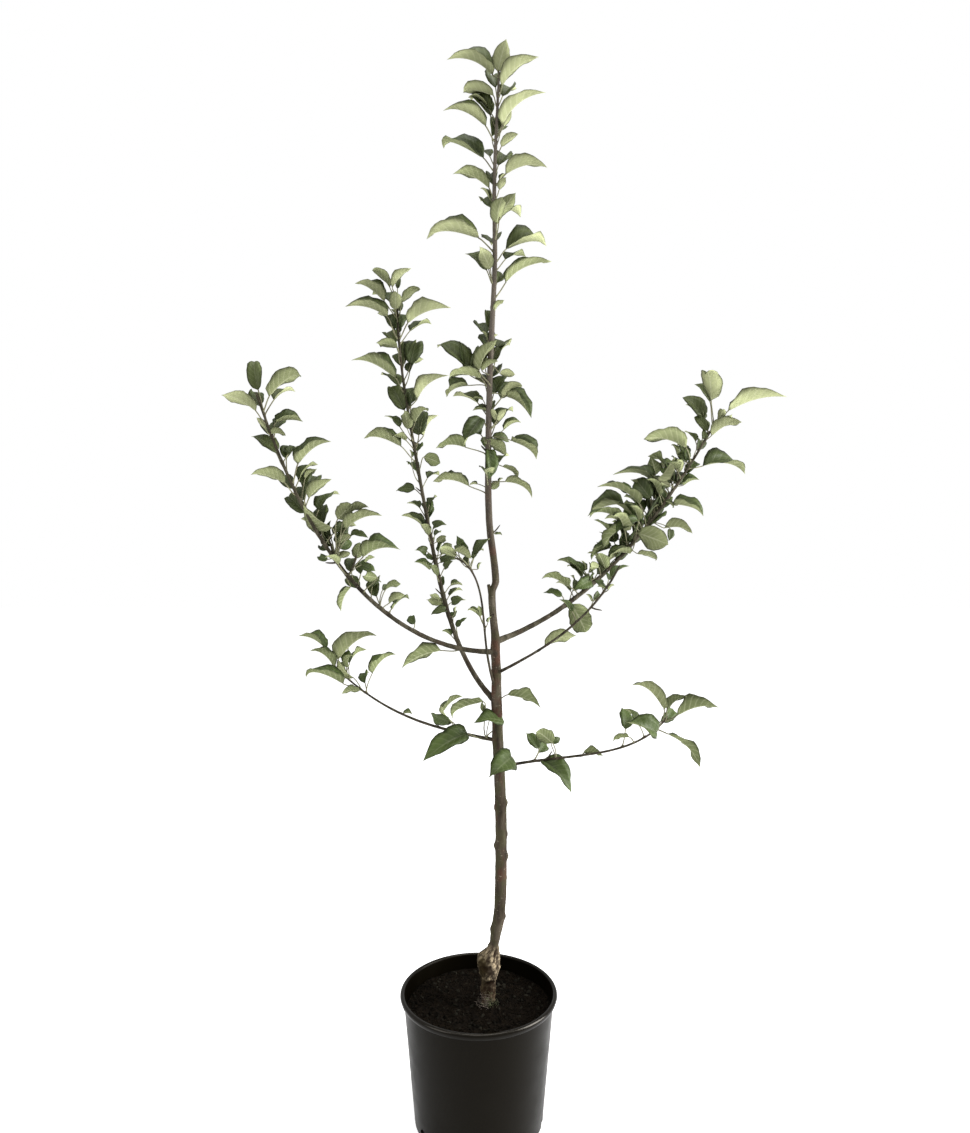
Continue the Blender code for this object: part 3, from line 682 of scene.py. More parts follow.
# Leaves: what is seen of each leaf of the outline. A row is its place on the limb, then in
# millimetres how far across and up its stalk ends, how far its tip lies, and how wide it looks.
leafRows = {
    "leader": {
        "broad": ((1.803, -2, 10, 12, 60, 28), (1.553, 8, 30, 34, 68, 24),
            (1.475, -6, 24, -24, 60, 24), (1.306, -18, 26, 12, 76, 22), (1.222, -8, -10, 30, -32, 18)),
        "dark": ((1.697, 8, 24, 12, 56, 12), (1.691, -6, 20, -10, 54, 14),
            (1.475, -12, 22, -50, 50, 18), (1.387, -4, 16, -10, 44, 14), (1.31, -34, 26, -90, 62, 26),
            (1.31, -30, 24, -20, 66, 22), (1.308, -38, 22, -56, 68, 20), (1.266, 20, 20, 36, 50, 22),
            (1.22, 6, 2, 36, -8, 14)),
        "darkBefore": ((1.238, -12, 16, -42, -32, 28), (1.212, 2, -12, 0, -62, 24)),
        "half": ((1.737, -12, 16, -48, 36, 18), (1.657, -18, 20, -86, 36, 18),
            (1.511, 18, 20, 88, 26, 26), (1.306, -36, 2, -74, -18, 22)),
        "halfBefore": ((1.294, 28, -4, 70, -40, 22), (1.22, 38, -4, 80, -36, 22)),
        "pale": ((1.773, 6, 16, 66, 62, 22), (1.713, 10, 16, 80, 66, 18), (1.709, 12, 18, 26, 42, 14),
            (1.679, 10, 16, 38, 36, 14), (1.633, 18, 18, 86, 28, 20), (1.615, -8, 14, -68, 36, 18),
            (1.611, 8, 16, 20, 36, 12), (1.419, 2, 10, 20, 30, 8), (1.34, 16, -12, 42, -14, 14),
            (1.322, -14, 10, 14, 26, 12), (1.306, -14, 14, -66, 12, 16), (1.266, 22, 22, 56, 40, 18),
            (1.234, 16, 14, 30, 34, 12), (1.234, 14, 16, 6, 34, 10), (1.192, -38, 12, -88, 10, 18),
            (1.176, 24, -4, 48, -24, 10), (1.142, 28, 4, 74, -24, 12), (1.128, 4, 6, 20, 18, 14),
            (0.77, 18, 8, 76, -16, 16)),
        "rim": ((1.803, -10, 4, -84, 28, 20), (1.759, -6, 16, -54, 20, 20),
            (1.703, -16, 24, -86, 48, 18), (1.527, -26, 22, -112, 20, 24),
            (1.453, 20, 24, 96, 58, 18), (1.126, -32, 12, -94, 20, 14)),
        "small": ((1.633, 8, 10, 20, 18, 8), (1.607, -8, 6, -24, 22, 6), (1.374, 2, 10, 12, 18, 6),
            (1.37, -6, 12, -16, 28, 12), (1.27, -10, 14, -28, 16, 8), (1.262, -4, 4, -28, 4, 10),
            (1.214, 26, 20, 56, 32, 12), (1.146, 18, 0, 26, 6, 6), (1.136, -18, 6, -32, 4, 6),
            (1.064, 8, -8, 20, -10, 6)),
    },
    "secondLeader": {
        "broad": ((0.95, -4, 22, -4, 56, 24), (0.66, -10, 22, -16, 54, 22), (0.38, 12, 4, 32, 22, 18)),
        "dark": ((0.99, 0, 30, 6, 50, 10), (0.96, 4, 12, 8, 28, 12), (0.91, -8, 16, -40, 48, 16),
            (0.90, 2, 20, 0, 46, 14), (0.81, 14, 28, 26, 66, 36), (0.72, -8, 12, -34, 54, 32),
            (0.72, 2, 18, 0, 48, 14), (0.66, -24, 26, -54, 46, 10), (0.64, 8, 26, 16, 72, 38),
            (0.53, -14, 10, -50, 6, 16), (0.46, 0, 18, 2, 42, 22), (0.37, -4, 2, -20, 12, 10),
            (0.19, 2, 14, 22, 32, 10)),
        "darkBefore": ((0.43, 6, 18, 30, 20, 16), (0.38, -14, 10, -36, 12, 18),
            (0.36, 8, 6, 36, 10, 14), (0.33, 10, 18, 26, 30, 14), (0.26, 10, 8, 36, 12, 16),
            (0.25, 0, 0, -30, -8, 14)),
        "half": ((0.92, -2, 10, -14, 48, 16), (0.44, -12, 10, -52, 30, 16)),
        "halfBefore": ((0.37, -10, -16, -38, -2, 16),),
        "pale": ((1.00, -14, 24, -46, 54, 16), (1.00, -10, 24, 26, 58, 16), (0.96, 8, 28, 42, 50, 16),
            (0.91, 16, 28, 96, 56, 24), (0.85, -6, 30, -46, 38, 18), (0.74, 18, 18, 76, 60, 18),
            (0.59, 10, 24, 40, 12, 24), (0.41, 8, 4, 24, 12, 14), (0.37, 12, 12, 22, 28, 12),
            (0.27, -10, 2, -28, 14, 10)),
        "paleBehind": ((0.65, 18, 18, 46, 56, 14),),
        "rim": ((0.96, -24, 30, -78, 62, 20), (0.91, -20, 40, -98, 58, 22),
            (0.78, -16, 26, -98, 58, 22), (0.61, -28, 28, -96, 42, 22), (0.29, 0, -14, -30, -10, 18)),
        "small": ((0.56, -16, 46, -20, 60, 8), (0.29, 14, 16, 36, 16, 10), (0.23, 10, 12, 12, 22, 10),
            (0.18, -10, 6, -28, 14, 8)),
    },
    "innerShoot": {
        "broad": ((0.91, -22, 24, 8, 10, 14), (0.89, -20, 18, -46, 30, 16)),
        "dark": ((0.89, 0, 30, -20, 54, 14), (0.87, 8, 24, 34, 52, 14)),
        "pale": ((0.50, -6, 10, -10, 28, 12),),
        "small": ((0.86, 12, 2, 18, 14, 4), (0.49, -8, 14, -28, 22, 8), (0.46, 6, 10, 12, 20, 8)),
    },
    "leftBough": {
        "broad": ((0.43, 24, 24, 0, 26, 18),),
        "dark": ((0.96, -6, 32, -10, 74, 24), (0.82, -10, 18, -50, 44, 20), (0.72, 6, 26, 10, 54, 24),
            (0.56, -8, 8, -20, 14, 12), (0.55, 12, 36, 20, 62, 18), (0.55, -4, 30, -4, 62, 12),
            (0.55, 4, 22, 24, 46, 16), (0.55, 8, 16, 28, 28, 18), (0.43, 6, 6, 30, 16, 8),
            (0.37, 6, 28, 14, 38, 10), (0.25, 2, 12, -8, 26, 16)),
        "darkBefore": ((0.55, 26, 36, 54, 32, 12),),
        "half": ((0.90, 6, 18, 50, 20, 24), (0.60, -14, 18, -36, 38, 12), (0.55, -10, -2, -24, 2, 12),
            (0.55, -2, 20, -12, 48, 14)),
        "halfBefore": ((0.49, 22, 18, 44, 8, 14),),
        "pale": ((0.96, 10, 22, 58, 50, 24), (0.90, -8, 8, -22, 26, 10), (0.89, -6, 8, 20, 4, 10),
            (0.74, -18, 18, -70, 30, 18), (0.55, -2, 48, -48, 84, 18), (0.55, 18, 46, 76, 66, 16),
            (0.55, 6, 22, 28, 36, 14), (0.55, 2, 0, 26, 8, 12), (0.54, 16, 72, 52, 84, 12),
            (0.49, 4, -18, -12, -58, 10), (0.37, 12, 30, 36, 38, 12), (0.36, 12, 10, 38, 24, 14),
            (0.11, -30, -4, -96, -34, 22)),
        "paleBehind": ((0.72, 8, 36, 28, 52, 10),),
        "rim": ((0.93, -16, 18, -68, 42, 20), (0.77, 10, 30, 62, 64, 20), (0.70, 8, 16, 44, 46, 18),
            (0.55, 6, 62, 30, 84, 28), (0.49, 14, 28, 20, 54, 20), (0.49, 24, 30, 84, 42, 20)),
        "small": ((0.34, 8, 8, 16, 18, 6),),
    },
    "rightBough": {
        "broad": ((1.00, -6, 48, -18, 94, 36), (1.00, 8, 8, 14, 30, 16), (0.99, 22, 6, 38, 28, 16),
            (0.80, -6, 10, -8, 36, 22), (0.59, -8, 20, -24, 48, 14), (0.54, 8, 20, 64, -2, 44),
            (0.45, -14, -10, -28, 20, 24), (0.39, -2, 18, -16, 20, 16), (0.25, 10, 2, 34, -48, 42)),
        "broadBehind": ((0.74, -30, 36, -42, 76, 28),),
        "dark": ((1.00, -8, 46, -40, 80, 16), (0.97, -10, 32, -54, 70, 28), (0.93, 4, 8, 0, 28, 12),
            (0.85, -6, 8, -6, 32, 14), (0.85, -6, 8, -26, 30, 16), (0.78, -16, 8, -40, 30, 16),
            (0.74, -12, 14, -46, 30, 20), (0.64, -4, 38, -34, 76, 34), (0.63, -38, 54, -76, 72, 16),
            (0.59, -12, 24, -38, 50, 24), (0.57, 0, 28, 0, 50, 12), (0.52, -32, 4, -58, 10, 16),
            (0.33, -8, 22, -34, 42, 10), (0.25, -6, 16, -42, 22, 12)),
        "darkBefore": ((0.63, 38, -14, 34, -36, 14), (0.55, 6, 38, -34, 12, 20)),
        "half": ((0.95, 4, 16, -22, 42, 18), (0.84, 28, 4, 112, -12, 22),
            (0.73, -28, 32, -110, 42, 18), (0.71, -10, 16, -28, 44, 18),
            (0.59, -36, 52, -102, 26, 30), (0.53, -22, 12, -60, 26, 24), (0.34, -10, 22, -58, 50, 16)),
        "halfBefore": ((0.77, 14, 2, 44, 12, 22), (0.72, 10, -8, 68, -32, 24),
            (0.52, 4, -10, -34, -18, 18), (0.38, -12, -2, -42, -18, 26)),
        "pale": ((1.00, 26, 28, 136, 54, 22), (0.95, 10, 6, 68, 32, 18), (0.86, -10, 28, -90, 44, 28),
            (0.76, -8, 4, -26, 12, 14), (0.72, 14, -12, 24, 2, 12), (0.63, 26, -12, 78, -22, 16),
            (0.61, -14, 42, -92, 72, 14), (0.58, -36, 26, -98, 32, 10),
            (0.57, -14, -30, -66, -58, 12), (0.55, -2, 30, -58, -14, 14),
            (0.52, 16, -10, 50, -24, 12), (0.30, -16, 16, -66, 30, 14)),
        "paleBehind": ((0.66, -12, 38, -50, 66, 16),),
        "rim": ((0.76, -34, 18, 0, 60, 18), (0.52, -36, 0, -68, -22, 14)),
        "small": ((0.85, -24, 20, -36, 38, 8), (0.69, 6, 10, 20, -2, 10), (0.66, -8, 8, 6, 14, 16),
            (0.36, -8, 20, -8, 40, 10), (0.36, -16, 24, -22, 42, 10)),
    },
    "underRightShoot": {
        "dark": ((0.93, 0, 4, 28, 22, 10),),
        "pale": ((0.34, 10, 8, 62, 24, 22),),
        "small": ((0.88, 0, -2, -14, 2, 10), (0.85, 8, 4, 18, 12, 10), (0.80, -8, -2, -18, 10, 4)),
    },
    "lowerLeftBough": {
        "dark": ((0.91, -2, 28, 4, 60, 20), (0.22, -10, 20, -46, 36, 20)),
        "darkBefore": ((0.06, -32, 8, -108, -40, 38), (0.05, 28, 30, -26, 26, 30)),
        "half": ((1.00, -18, 36, -74, 64, 18),),
        "halfBefore": ((0.82, -30, 8, -100, 20, 20),),
        "pale": ((0.99, 2, 18, 78, 64, 26), (0.78, -8, 4, -44, -4, 14), (0.05, 2, 44, -10, 66, 10),
            (0.05, -8, 66, -60, 34, 14)),
        "rim": ((0.98, -8, 6, -54, 38, 16), (0.77, 12, 38, 58, 74, 16)),
        "small": ((1.00, -6, 16, -10, 34, 10), (0.54, 4, 0, 22, -2, 8)),
    },
    "lowerRightBough": {
        "darkBefore": ((0.97, -8, -14, -56, 2, 34), (0.25, 4, 0, 54, -56, 30),
            (0.11, -8, 12, -46, -24, 44)),
        "half": ((0.34, -6, 28, 10, 36, 12), (0.22, 8, 22, -14, 48, 18)),
        "pale": ((0.99, 0, 18, -52, 56, 14), (0.99, 4, 18, 36, 38, 14), (0.99, 20, 8, 86, 20, 18),
            (0.93, 18, -8, 70, -62, 8), (0.79, -8, 10, -34, 2, 8), (0.49, 4, 4, 38, -2, 10),
            (0.35, -6, 26, -34, 44, 26)),
    },
}

# How a leaf lies: depth is the way it leans (+1 away from the viewer), long is its least length
# for the width that is seen, dark is the share of it that shows the upper side.
leafWays = {
    "pale": {"depth": -0.8, "long": 1.5, "dark": 0.0},
    "paleBehind": {"depth": 1, "long": 1.5, "dark": 0.0},
    "rim": {"depth": -0.5, "long": 1.5, "dark": 0.28},
    "half": {"depth": 1, "long": 1.6, "dark": 0.6},
    "halfBefore": {"depth": -1, "long": 1.6, "dark": 0.6},
    "dark": {"depth": 1, "long": 1.8, "dark": 1.0},
    "darkBefore": {"depth": -1, "long": 1.8, "dark": 1.0},
    "broad": {"depth": -1, "long": 1.8, "dark": 0.0},
    "broadBehind": {"depth": 1, "long": 1.8, "dark": 0.0},
    "small": {"depth": 0.4, "long": 1.5, "dark": 0.5},
}

# Leaves that fill the crown towards the back and the front by the rule of growth: the limb, its
# stretch, how many leaves, the middle of their reach in millimetres.
leafFill = (
    ("leader", 1.12, 1.19, 3, 70), ("leader", 1.20, 1.38, 12, 78), ("leader", 1.45, 1.60, 7, 88),
    ("leader", 1.61, 1.79, 7, 74), ("secondLeader", 0.20, 0.33, 5, 42),
    ("secondLeader", 0.36, 0.50, 8, 50), ("secondLeader", 0.53, 0.66, 4, 66),
    ("secondLeader", 0.68, 0.98, 10, 80), ("innerShoot", 0.80, 0.98, 3, 40),
    ("leftBough", 0.32, 0.52, 7, 60), ("leftBough", 0.54, 0.76, 10, 74),
    ("leftBough", 0.78, 0.98, 6, 70), ("rightBough", 0.25, 0.44, 7, 56),
    ("rightBough", 0.46, 0.80, 28, 88), ("rightBough", 0.82, 0.98, 5, 70),
    ("underRightShoot", 0.60, 0.96, 4, 42),
    ("lowerLeftBough", 0.16, 0.34, 2, 66), ("lowerLeftBough", 0.74, 0.98, 4, 74),
    ("lowerRightBough", 0.18, 0.38, 1, 56), ("lowerRightBough", 0.70, 0.98, 3, 66),
)

growth = {
    "seed": 2207,
    "turn": 137.5,  # bearing from one leaf of the fill to the next
    "backward": (35, 145),  # bearings the fill may take behind the limb
    "forward": (215, 325),  # and before it
    "forwardShare": 0.07,
    "fillRise": (18, 52),
    "fillReach": (0.8, 1.15),
    "fillRoll": (-15, 20),
    "fillFold": (30, 48),
    "rollDrift": (-9, 9),
    "beyondSeen": 1.04,  # how much longer than it is seen a leaf is at least
    "lengthChange": (1.0, 1.05),
    "stalkShare": (0.30, 0.44),
    "stalkUpward": 0.3,
    "stalkDepth": 0.35,  # of the stalk that is seen
    "rolls": range(-90, 91, 6),  # the turns about its length that a leaf may take
    "folds": (24, 34, 44, 54, 64),
    "widthChange": (0.72, 1.3),  # by which a leaf's own width may follow the seen one
    "halfWidth": (0.265, 0.335),  # of the blade's length
    "lift": (16, 36),
    "droop": (20, 50),
    "curl": (75, 105),
    "curledShare": 0.16,
    "turnedShare": 0.26,
    "twist": (12, 44),  # degrees from the foot of a blade to its tip
    "curlTwist": (60, 110),  # of a tip that turns over, on top
    "stations": 12,
    "ripple": (0.10, 0.20),  # of the half width, for a fresh, lit leaf and a deep, shaded one
    "tooth": 0.018,
    "toothDrift": (-0.04, 0.04),
    "thickness": 0.0004,
    "midrib": 0.0009,
    "outline": (0.74, 0.66, 0.62),  # how far back a blade is widest, how blunt its foot, how drawn out
    "handles": (0.38, 0.34),  # of the curve along a blade
    "foldUsual": 44,
    "rollCost": 0.12,  # how loath a blade is to turn, and to fold in another way
    "foldCost": 0.03,
    "freshAndLitFrom": 0.75,  # the height from which leaves are fresher and painted lighter, as lit from above, and over how much more
    "freshAndLitOver": 0.9,
    "shadeDrift": (-0.7, 0.7),
    "stalkThick": (0.00075, 0.0045),  # and how it grows with the blade's length
    "stalkFoot": (0.75, 9),  # how much its foot swells, and how soon that ends
    "stalkHandles": (0.26, 0.18),
    "stalkInto": 0.0016,  # how far it runs on into the blade
    "stalkSteps": 7,
    "stalkSides": 6,
}


def sightOffset(place, depth):
    # a step in depth that keeps its place in the photograph's view
    sight = place - Vector(cameraSetup["place"])
    return sight / sight.y * depth


def rowLeaf(limb, way, row, chance):
    settings = leafWays[way]
    place, stalkAcross, stalkUp, across, up, width = row
    node = placeOn(limb, place)
    seen = math.hypot(across - stalkAcross, up - stalkUp)
    length = max(growth["beyondSeen"] * seen, settings["long"] * width)
    length *= chance.uniform(*growth["lengthChange"])
    stalkDepth = settings["depth"] * growth["stalkDepth"] * math.hypot(stalkAcross, stalkUp)
    depth = stalkDepth + settings["depth"] * math.sqrt(length ** 2 - seen ** 2)
    stalkEnd = Vector((stalkAcross, 0, stalkUp)) * 0.001 + sightOffset(node, stalkDepth * 0.001)
    reach = Vector((across, 0, up)) * 0.001 + sightOffset(node, depth * 0.001)
    return {"limb": limb, "place": place, "reach": reach, "stalkEnd": stalkEnd,
            "seenWidth": width * 0.001, "dark": settings["dark"]}


def fillLeaf(limb, place, bearing, length, chance):
    rise = chance.uniform(*growth["fillRise"])
    reach = heading(rise, bearing) * length * 0.001 * chance.uniform(*growth["fillReach"])
    climb = (directionOn(limb, place) + upward).normalized()
    lean = growth["stalkUpward"]
    stalkWay = (reach.normalized() * (1 - lean) + climb * lean).normalized()
    stalkEnd = stalkWay * reach.length * chance.uniform(*growth["stalkShare"])
    return {"limb": limb, "place": place, "reach": reach, "stalkEnd": stalkEnd,
            "roll": chance.uniform(*growth["fillRoll"]), "fold": chance.uniform(*growth["fillFold"])}


def fillStretch(limb, low, high, count, length, chance):
    made, turn = [], chance.uniform(0, 360)
    while len(made) < count:
        turn = (turn + growth["turn"]) % 360
        behind = growth["backward"][0] < turn < growth["backward"][1]
        before = growth["forward"][0] < turn < growth["forward"][1]
        if behind or (before and chance.random() < growth["forwardShare"]):
            place = low + (high - low) * (len(made) + chance.uniform(0.1, 0.9)) / count
            made.append(fillLeaf(limb, place, turn, length, chance))
    return made


def growLeaves():
    chance = random.Random(growth["seed"])
    leaves = []
    for limb, ways in leafRows.items():
        for way, rows in ways.items():
            leaves += [rowLeaf(limb, way, row, chance) for row in rows]
    for limb, low, high, count, length in leafFill:
        leaves += fillStretch(limb, low, high, count, length, chance)
    for leaf in leaves:
        finishLeaf(leaf, chance)
    return leaves


def foldedHalf(side, normal, hand, fold):
    # from the midrib to the middle of one half and to its rim, for a half width of 1
    inner, outer = fold + math.radians(8), fold - math.radians(20)
    half = (side * hand * math.cos(inner) + normal * math.sin(inner)) * 0.52
    return half, half + (side * hand * math.cos(outer) + normal * math.sin(outer)) * 0.5


def upperShare(near, far):
    return max(far - near, 0) / max(far, near)


def fitBlade(leaf, chord, facing):
    # turns the blade about its length, and folds it, till it looks as wide and as dark as wanted
    sight = (leaf["base"].lerp(leaf["tip"], 0.5) - Vector(cameraSetup["place"])).normalized()
    level = sight.cross(chord).normalized()
    half = leaf["width"] * (leaf["tip"] - leaf["base"]).length
    best = None
    for roll in growth["rolls"]:
        upper = Matrix.Rotation(math.radians(roll), 3, chord) @ facing
        side = chord.cross(upper)
        for fold in growth["folds"]:
            rims = [foldedHalf(side, upper, hand, math.radians(fold * 0.9))[1] for hand in (-1, 1)]
            near, far = [rim.dot(level) for rim in sorted(rims, key=sight.dot)]
            if near * far < 0:
                seen, dark = abs(near) + abs(far), float(upper.dot(sight) < 0)
            else:
                seen, dark = max(abs(near), abs(far)), upperShare(abs(near), abs(far))
            cost = abs(seen * half - leaf["seenWidth"]) / leaf["seenWidth"]
            cost += abs(dark - leaf["dark"]) + growth["rollCost"] * abs(roll) / 90
            cost += growth["foldCost"] * abs(fold - growth["foldUsual"]) / 20
            if best is None or cost < best[0]:
                best = (cost, upper, fold, seen * half)
    change = leaf["seenWidth"] / max(best[3], 0.001)
    low, high = growth["widthChange"]
    leaf["upper"], leaf["fold"] = best[1], best[2]
    leaf["width"] *= min(max(change, low), high)


def finishLeaf(leaf, chance):
    # where its stalk leaves the wood, where its blade starts, and which way its upper side looks
    limb, place, reach = leaf["limb"], leaf["place"], leaf["reach"]
    centre, along = placeOn(limb, place), directionOn(limb, place)
    outward = (reach - along * reach.dot(along)).normalized()
    climb = (along + upward).normalized()
    leaf["node"] = centre + outward * radiusOn(limb, place) * 0.7
    leaf["outward"] = outward
    leaf["tip"] = centre + reach
    leaf["base"] = centre + leaf["stalkEnd"]
    chord = (leaf["tip"] - leaf["base"]).normalized()
    angle = chord.angle(climb)
    facing = climb * math.sin(angle) - outward * math.cos(angle)
    facing = (facing - chord * facing.dot(chord)).normalized()
    leaf["width"] = chance.uniform(*growth["halfWidth"])
    if "seenWidth" in leaf:
        fitBlade(leaf, chord, facing)
    else:
        roll = math.radians(leaf["roll"] + chance.uniform(*growth["rollDrift"]))
        turned = [Matrix.Rotation(turn, 3, chord) @ facing for turn in (roll, -roll)]
        leaf["upper"] = min(turned, key=lambda way: way.y)
    leaf["lift"] = math.radians(chance.uniform(*growth["lift"]))
    curled = chance.random() < growth["curledShare"]
    leaf["droop"] = math.radians(chance.uniform(*growth["curl" if curled else "droop"]))
    leaf["wave"] = (chance.uniform(0, 6.28), chance.uniform(0, 6.28))
    toFront = 1 if leaf["upper"].cross(chord).y < 0 else -1
    leaf["twist"] = math.radians(chance.uniform(*growth["twist"]) * toFront)
    turnOver = chance.random() < growth["turnedShare"]
    leaf["turnOver"] = math.radians(chance.uniform(*growth["curlTwist"])) * toFront * turnOver
    # leaves higher up get a paler tone, partly as fresher growth and partly as painted light from above;
    # lower ones get a darker tone as painted shade; the right bough's tip is painted palest
    freshAndLit = (leaf["tip"].z - growth["freshAndLitFrom"]) / growth["freshAndLitOver"]
    freshAndLit += 0.5 if limb == "rightBough" and place > 0.9 else 0
    leaf["shade"] = min(max(round(2 - 2 * freshAndLit + chance.uniform(*growth["shadeDrift"])), 0), 2)


def bezier(corners, share):
    rest = 1 - share
    first, second, third, fourth = corners
    return (first * rest ** 3 + second * 3 * rest ** 2 * share + third * 3 * rest * share ** 2
            + fourth * share ** 3)


def bezierWay(corners, share):
    return (bezier(corners, min(share + 0.01, 1)) - bezier(corners, max(share - 0.01, 0))).normalized()


def bladeOutline(share):
    back, blunt, drawn = growth["outline"]
    return math.sin(math.pi * share ** back) ** (blunt + drawn * share)


def bladeRow(shape, leaf, corners, station, chance):
    # the points across the blade at one place on it: those of the upper side, then of the under side
    share = station / growth["stations"]
    middle, way = bezier(corners, share), bezierWay(corners, share)
    side = way.cross(leaf["upper"]).normalized()
    turned = leaf["twist"] * (share - 0.45) + leaf["turnOver"] * max(share - 0.55, 0) * 2
    side = Matrix.Rotation(turned, 3, way) @ side
    normal = side.cross(way)
    width = leaf["width"] * (leaf["tip"] - leaf["base"]).length * bladeOutline(share)
    fold = math.radians(leaf["fold"] * (1.08 - 0.4 * share))
    least, most = growth["ripple"]
    wave = (least + (most - least) * leaf["shade"] / 2) * width
    thin = growth["thickness"]
    sheet, below = [], []
    for hand, phase in zip((-1, 1), leaf["wave"]):
        tooth = 1 + growth["tooth"] * (-1) ** station + chance.uniform(*growth["toothDrift"])
        ripple = wave * (math.sin(phase + 7.5 * share) + 0.5 * math.sin(phase * 3 + 17 * share))
        toHalf, toRim = foldedHalf(side, normal, hand, fold)
        half = middle + toHalf * width
        rim = middle + toRim * width * tooth + normal * ripple
        across = 0.5 + 0.25 * hand
        rimPoint = addPoint(shape, rim, (0.5 + 0.5 * hand, share))
        sheet.append((addPoint(shape, half, (across, share)), rimPoint))
        below.append(addPoint(shape, half - normal * thin, (across, share)))
    midTop = addPoint(shape, middle, (0.5, share))
    midLow = addPoint(shape, middle - normal * (thin + growth["midrib"] * (1 - share)), (0.5, share))
    return ((sheet[0][1], sheet[0][0], midTop, sheet[1][0], sheet[1][1]),
            (sheet[0][1], below[0], midLow, below[1], sheet[1][1]))


def addBlade(shape, leaf, chance):
    base, tip, upper = leaf["base"], leaf["tip"], leaf["upper"]
    length, along = (tip - base).length, (tip - base).normalized()
    rising = along * math.cos(leaf["lift"]) + upper * math.sin(leaf["lift"])
    falling = along * math.cos(leaf["droop"]) - upper * math.sin(leaf["droop"])
    near, far = growth["handles"]
    corners = (base, base + rising * length * near, tip - falling * length * far, tip)
    over, under = leaf["shade"], leaf["shade"] + 3
    start, end = addPoint(shape, base, (0.5, 0)), addPoint(shape, tip, (0.5, 1))
    rows = [bladeRow(shape, leaf, corners, station, chance) for station in range(1, growth["stations"])]
    for (topA, lowA), (topB, lowB) in zip(rows, rows[1:]):
        for i in range(4):
            addFace(shape, (topA[i], topB[i], topB[i + 1], topA[i + 1]), over)
            addFace(shape, (lowA[i], lowA[i + 1], lowB[i + 1], lowB[i]), under)
    (firstTop, firstLow), (lastTop, lastLow) = rows[0], rows[-1]
    for i in range(4):
        addFace(shape, (start, firstTop[i], firstTop[i + 1]), over)
        addFace(shape, (start, firstLow[i + 1], firstLow[i]), under)
        addFace(shape, (end, lastTop[i + 1], lastTop[i]), over)
        addFace(shape, (end, lastLow[i], lastLow[i + 1]), under)


def addStalk(shape, leaf):
    node, base = leaf["node"], leaf["base"]
    length = (base - node).length
    climb = (directionOn(leaf["limb"], leaf["place"]) + leaf["outward"] * 1.2).normalized()
    chord = (leaf["tip"] - base).normalized()
    arrive = (chord * math.cos(leaf["lift"]) + leaf["upper"] * math.sin(leaf["lift"])).normalized()
    near, far = growth["stalkHandles"]
    end = base + arrive * growth["stalkInto"]
    corners = (node, node + climb * length * near, base - arrive * length * far, end)
    shares = [i / growth["stalkSteps"] for i in range(growth["stalkSteps"] + 1)]
    axes = [bezierWay(corners, share) for share in shares]
    least, more = growth["stalkThick"]
    thick = least + more * min((leaf["tip"] - base).length, 0.09)
    swell, fade = growth["stalkFoot"]
    radii = [thick * (1 + swell * math.exp(-share * fade)) for share in shares]
    rings = [ringAround(bezier(corners, share), axis, across, [radius] * growth["stalkSides"])
             for share, axis, across, radius in zip(shares, axes, untwisted(axes), radii)]
    addRings(shape, rings)


leafColours = {  # upper and under side of a fresh leaf high in the crown, painted lighter as lit from above, of a grown leaf, and of a deep leaf low in the crown, painted darker as in shade
    "upper": ((0.062, 0.078, 0.023), (0.045, 0.061, 0.017), (0.055, 0.080, 0.020)),
    "under": ((0.315, 0.336, 0.178), (0.222, 0.244, 0.120), (0.160, 0.185, 0.083)),
    "rib": (0.45, 0.46, 0.30),
    "stalk": ((0.085, 0.075, 0.045), (0.155, 0.150, 0.085), (0.25, 0.25, 0.15)),
    "veinSlant": -0.42,  # how far a side vein runs towards the tip, to the blade's own width
    "veinCount": 50.0,
}


def bladeMaterial(name, colour, roughness, specular, ribShare):
    # the pale midrib and the side veins follow the blade's own UV map
    material, tree, shader = newMaterial(name, roughness, specular)
    uv = addNode(tree, "ShaderNodeUVMap", {"uv_map": "UVMap"})
    parts = addNode(tree, "ShaderNodeSeparateXYZ")
    link(tree, uv.outputs["UV"], parts.inputs["Vector"])
    across = addMath(tree, "ABSOLUTE", addMath(tree, "SUBTRACT", parts.outputs["X"], 0.5))
    slant = addMath(tree, "MULTIPLY_ADD", across, leafColours["veinSlant"], parts.outputs["Y"])
    vein = addMath(tree, "SINE", addMath(tree, "MULTIPLY", slant, leafColours["veinCount"]))
    darker = shaded(colour, 0.66)
    stops = [(0.34, darker), (0.50, colour), (0.66, shaded(colour, 1.28))]
    blotched = colourRamp(tree, objectNoise(tree, 17.0, 4.0), stops)
    speckle = objectNoise(tree, 120.0, 2.0)
    layers = (  # where it shows, from what value to what value, its share at both, and its colour
        # painted shade: the blade darker towards its foot by the stalk
        (parts.outputs["Y"], 0.0, 0.55, 0.55, 0.0, darker),
        (speckle, 0.35, 0.7, 0.0, 0.22, shaded(colour, 0.8)),
        # painted shade: a dark line along the blade's rim
        (across, 0.425, 0.5, 0.0, 0.9, shaded(colour, 0.3)),
        (vein, 0.66, 1.0, 0.0, ribShare * 0.42, leafColours["rib"]),
        (across, 0.0, 0.05, ribShare, 0.0, leafColours["rib"]),
    )
    link(tree, layered(tree, blotched, layers), shader.inputs["Base Color"])
    addBump(tree, shader, addMath(tree, "ADD", vein, speckle), 0.0006, 0.13)
    return material


def stalkMaterial():
    stops = list(zip((0.3, 0.5, 0.72), leafColours["stalk"]))
    return grainedMaterial("leafStalk", 0.65, 0.25, (60.0, 4.0), stops, (500.0, 3.0, 0.0003, 0.5))


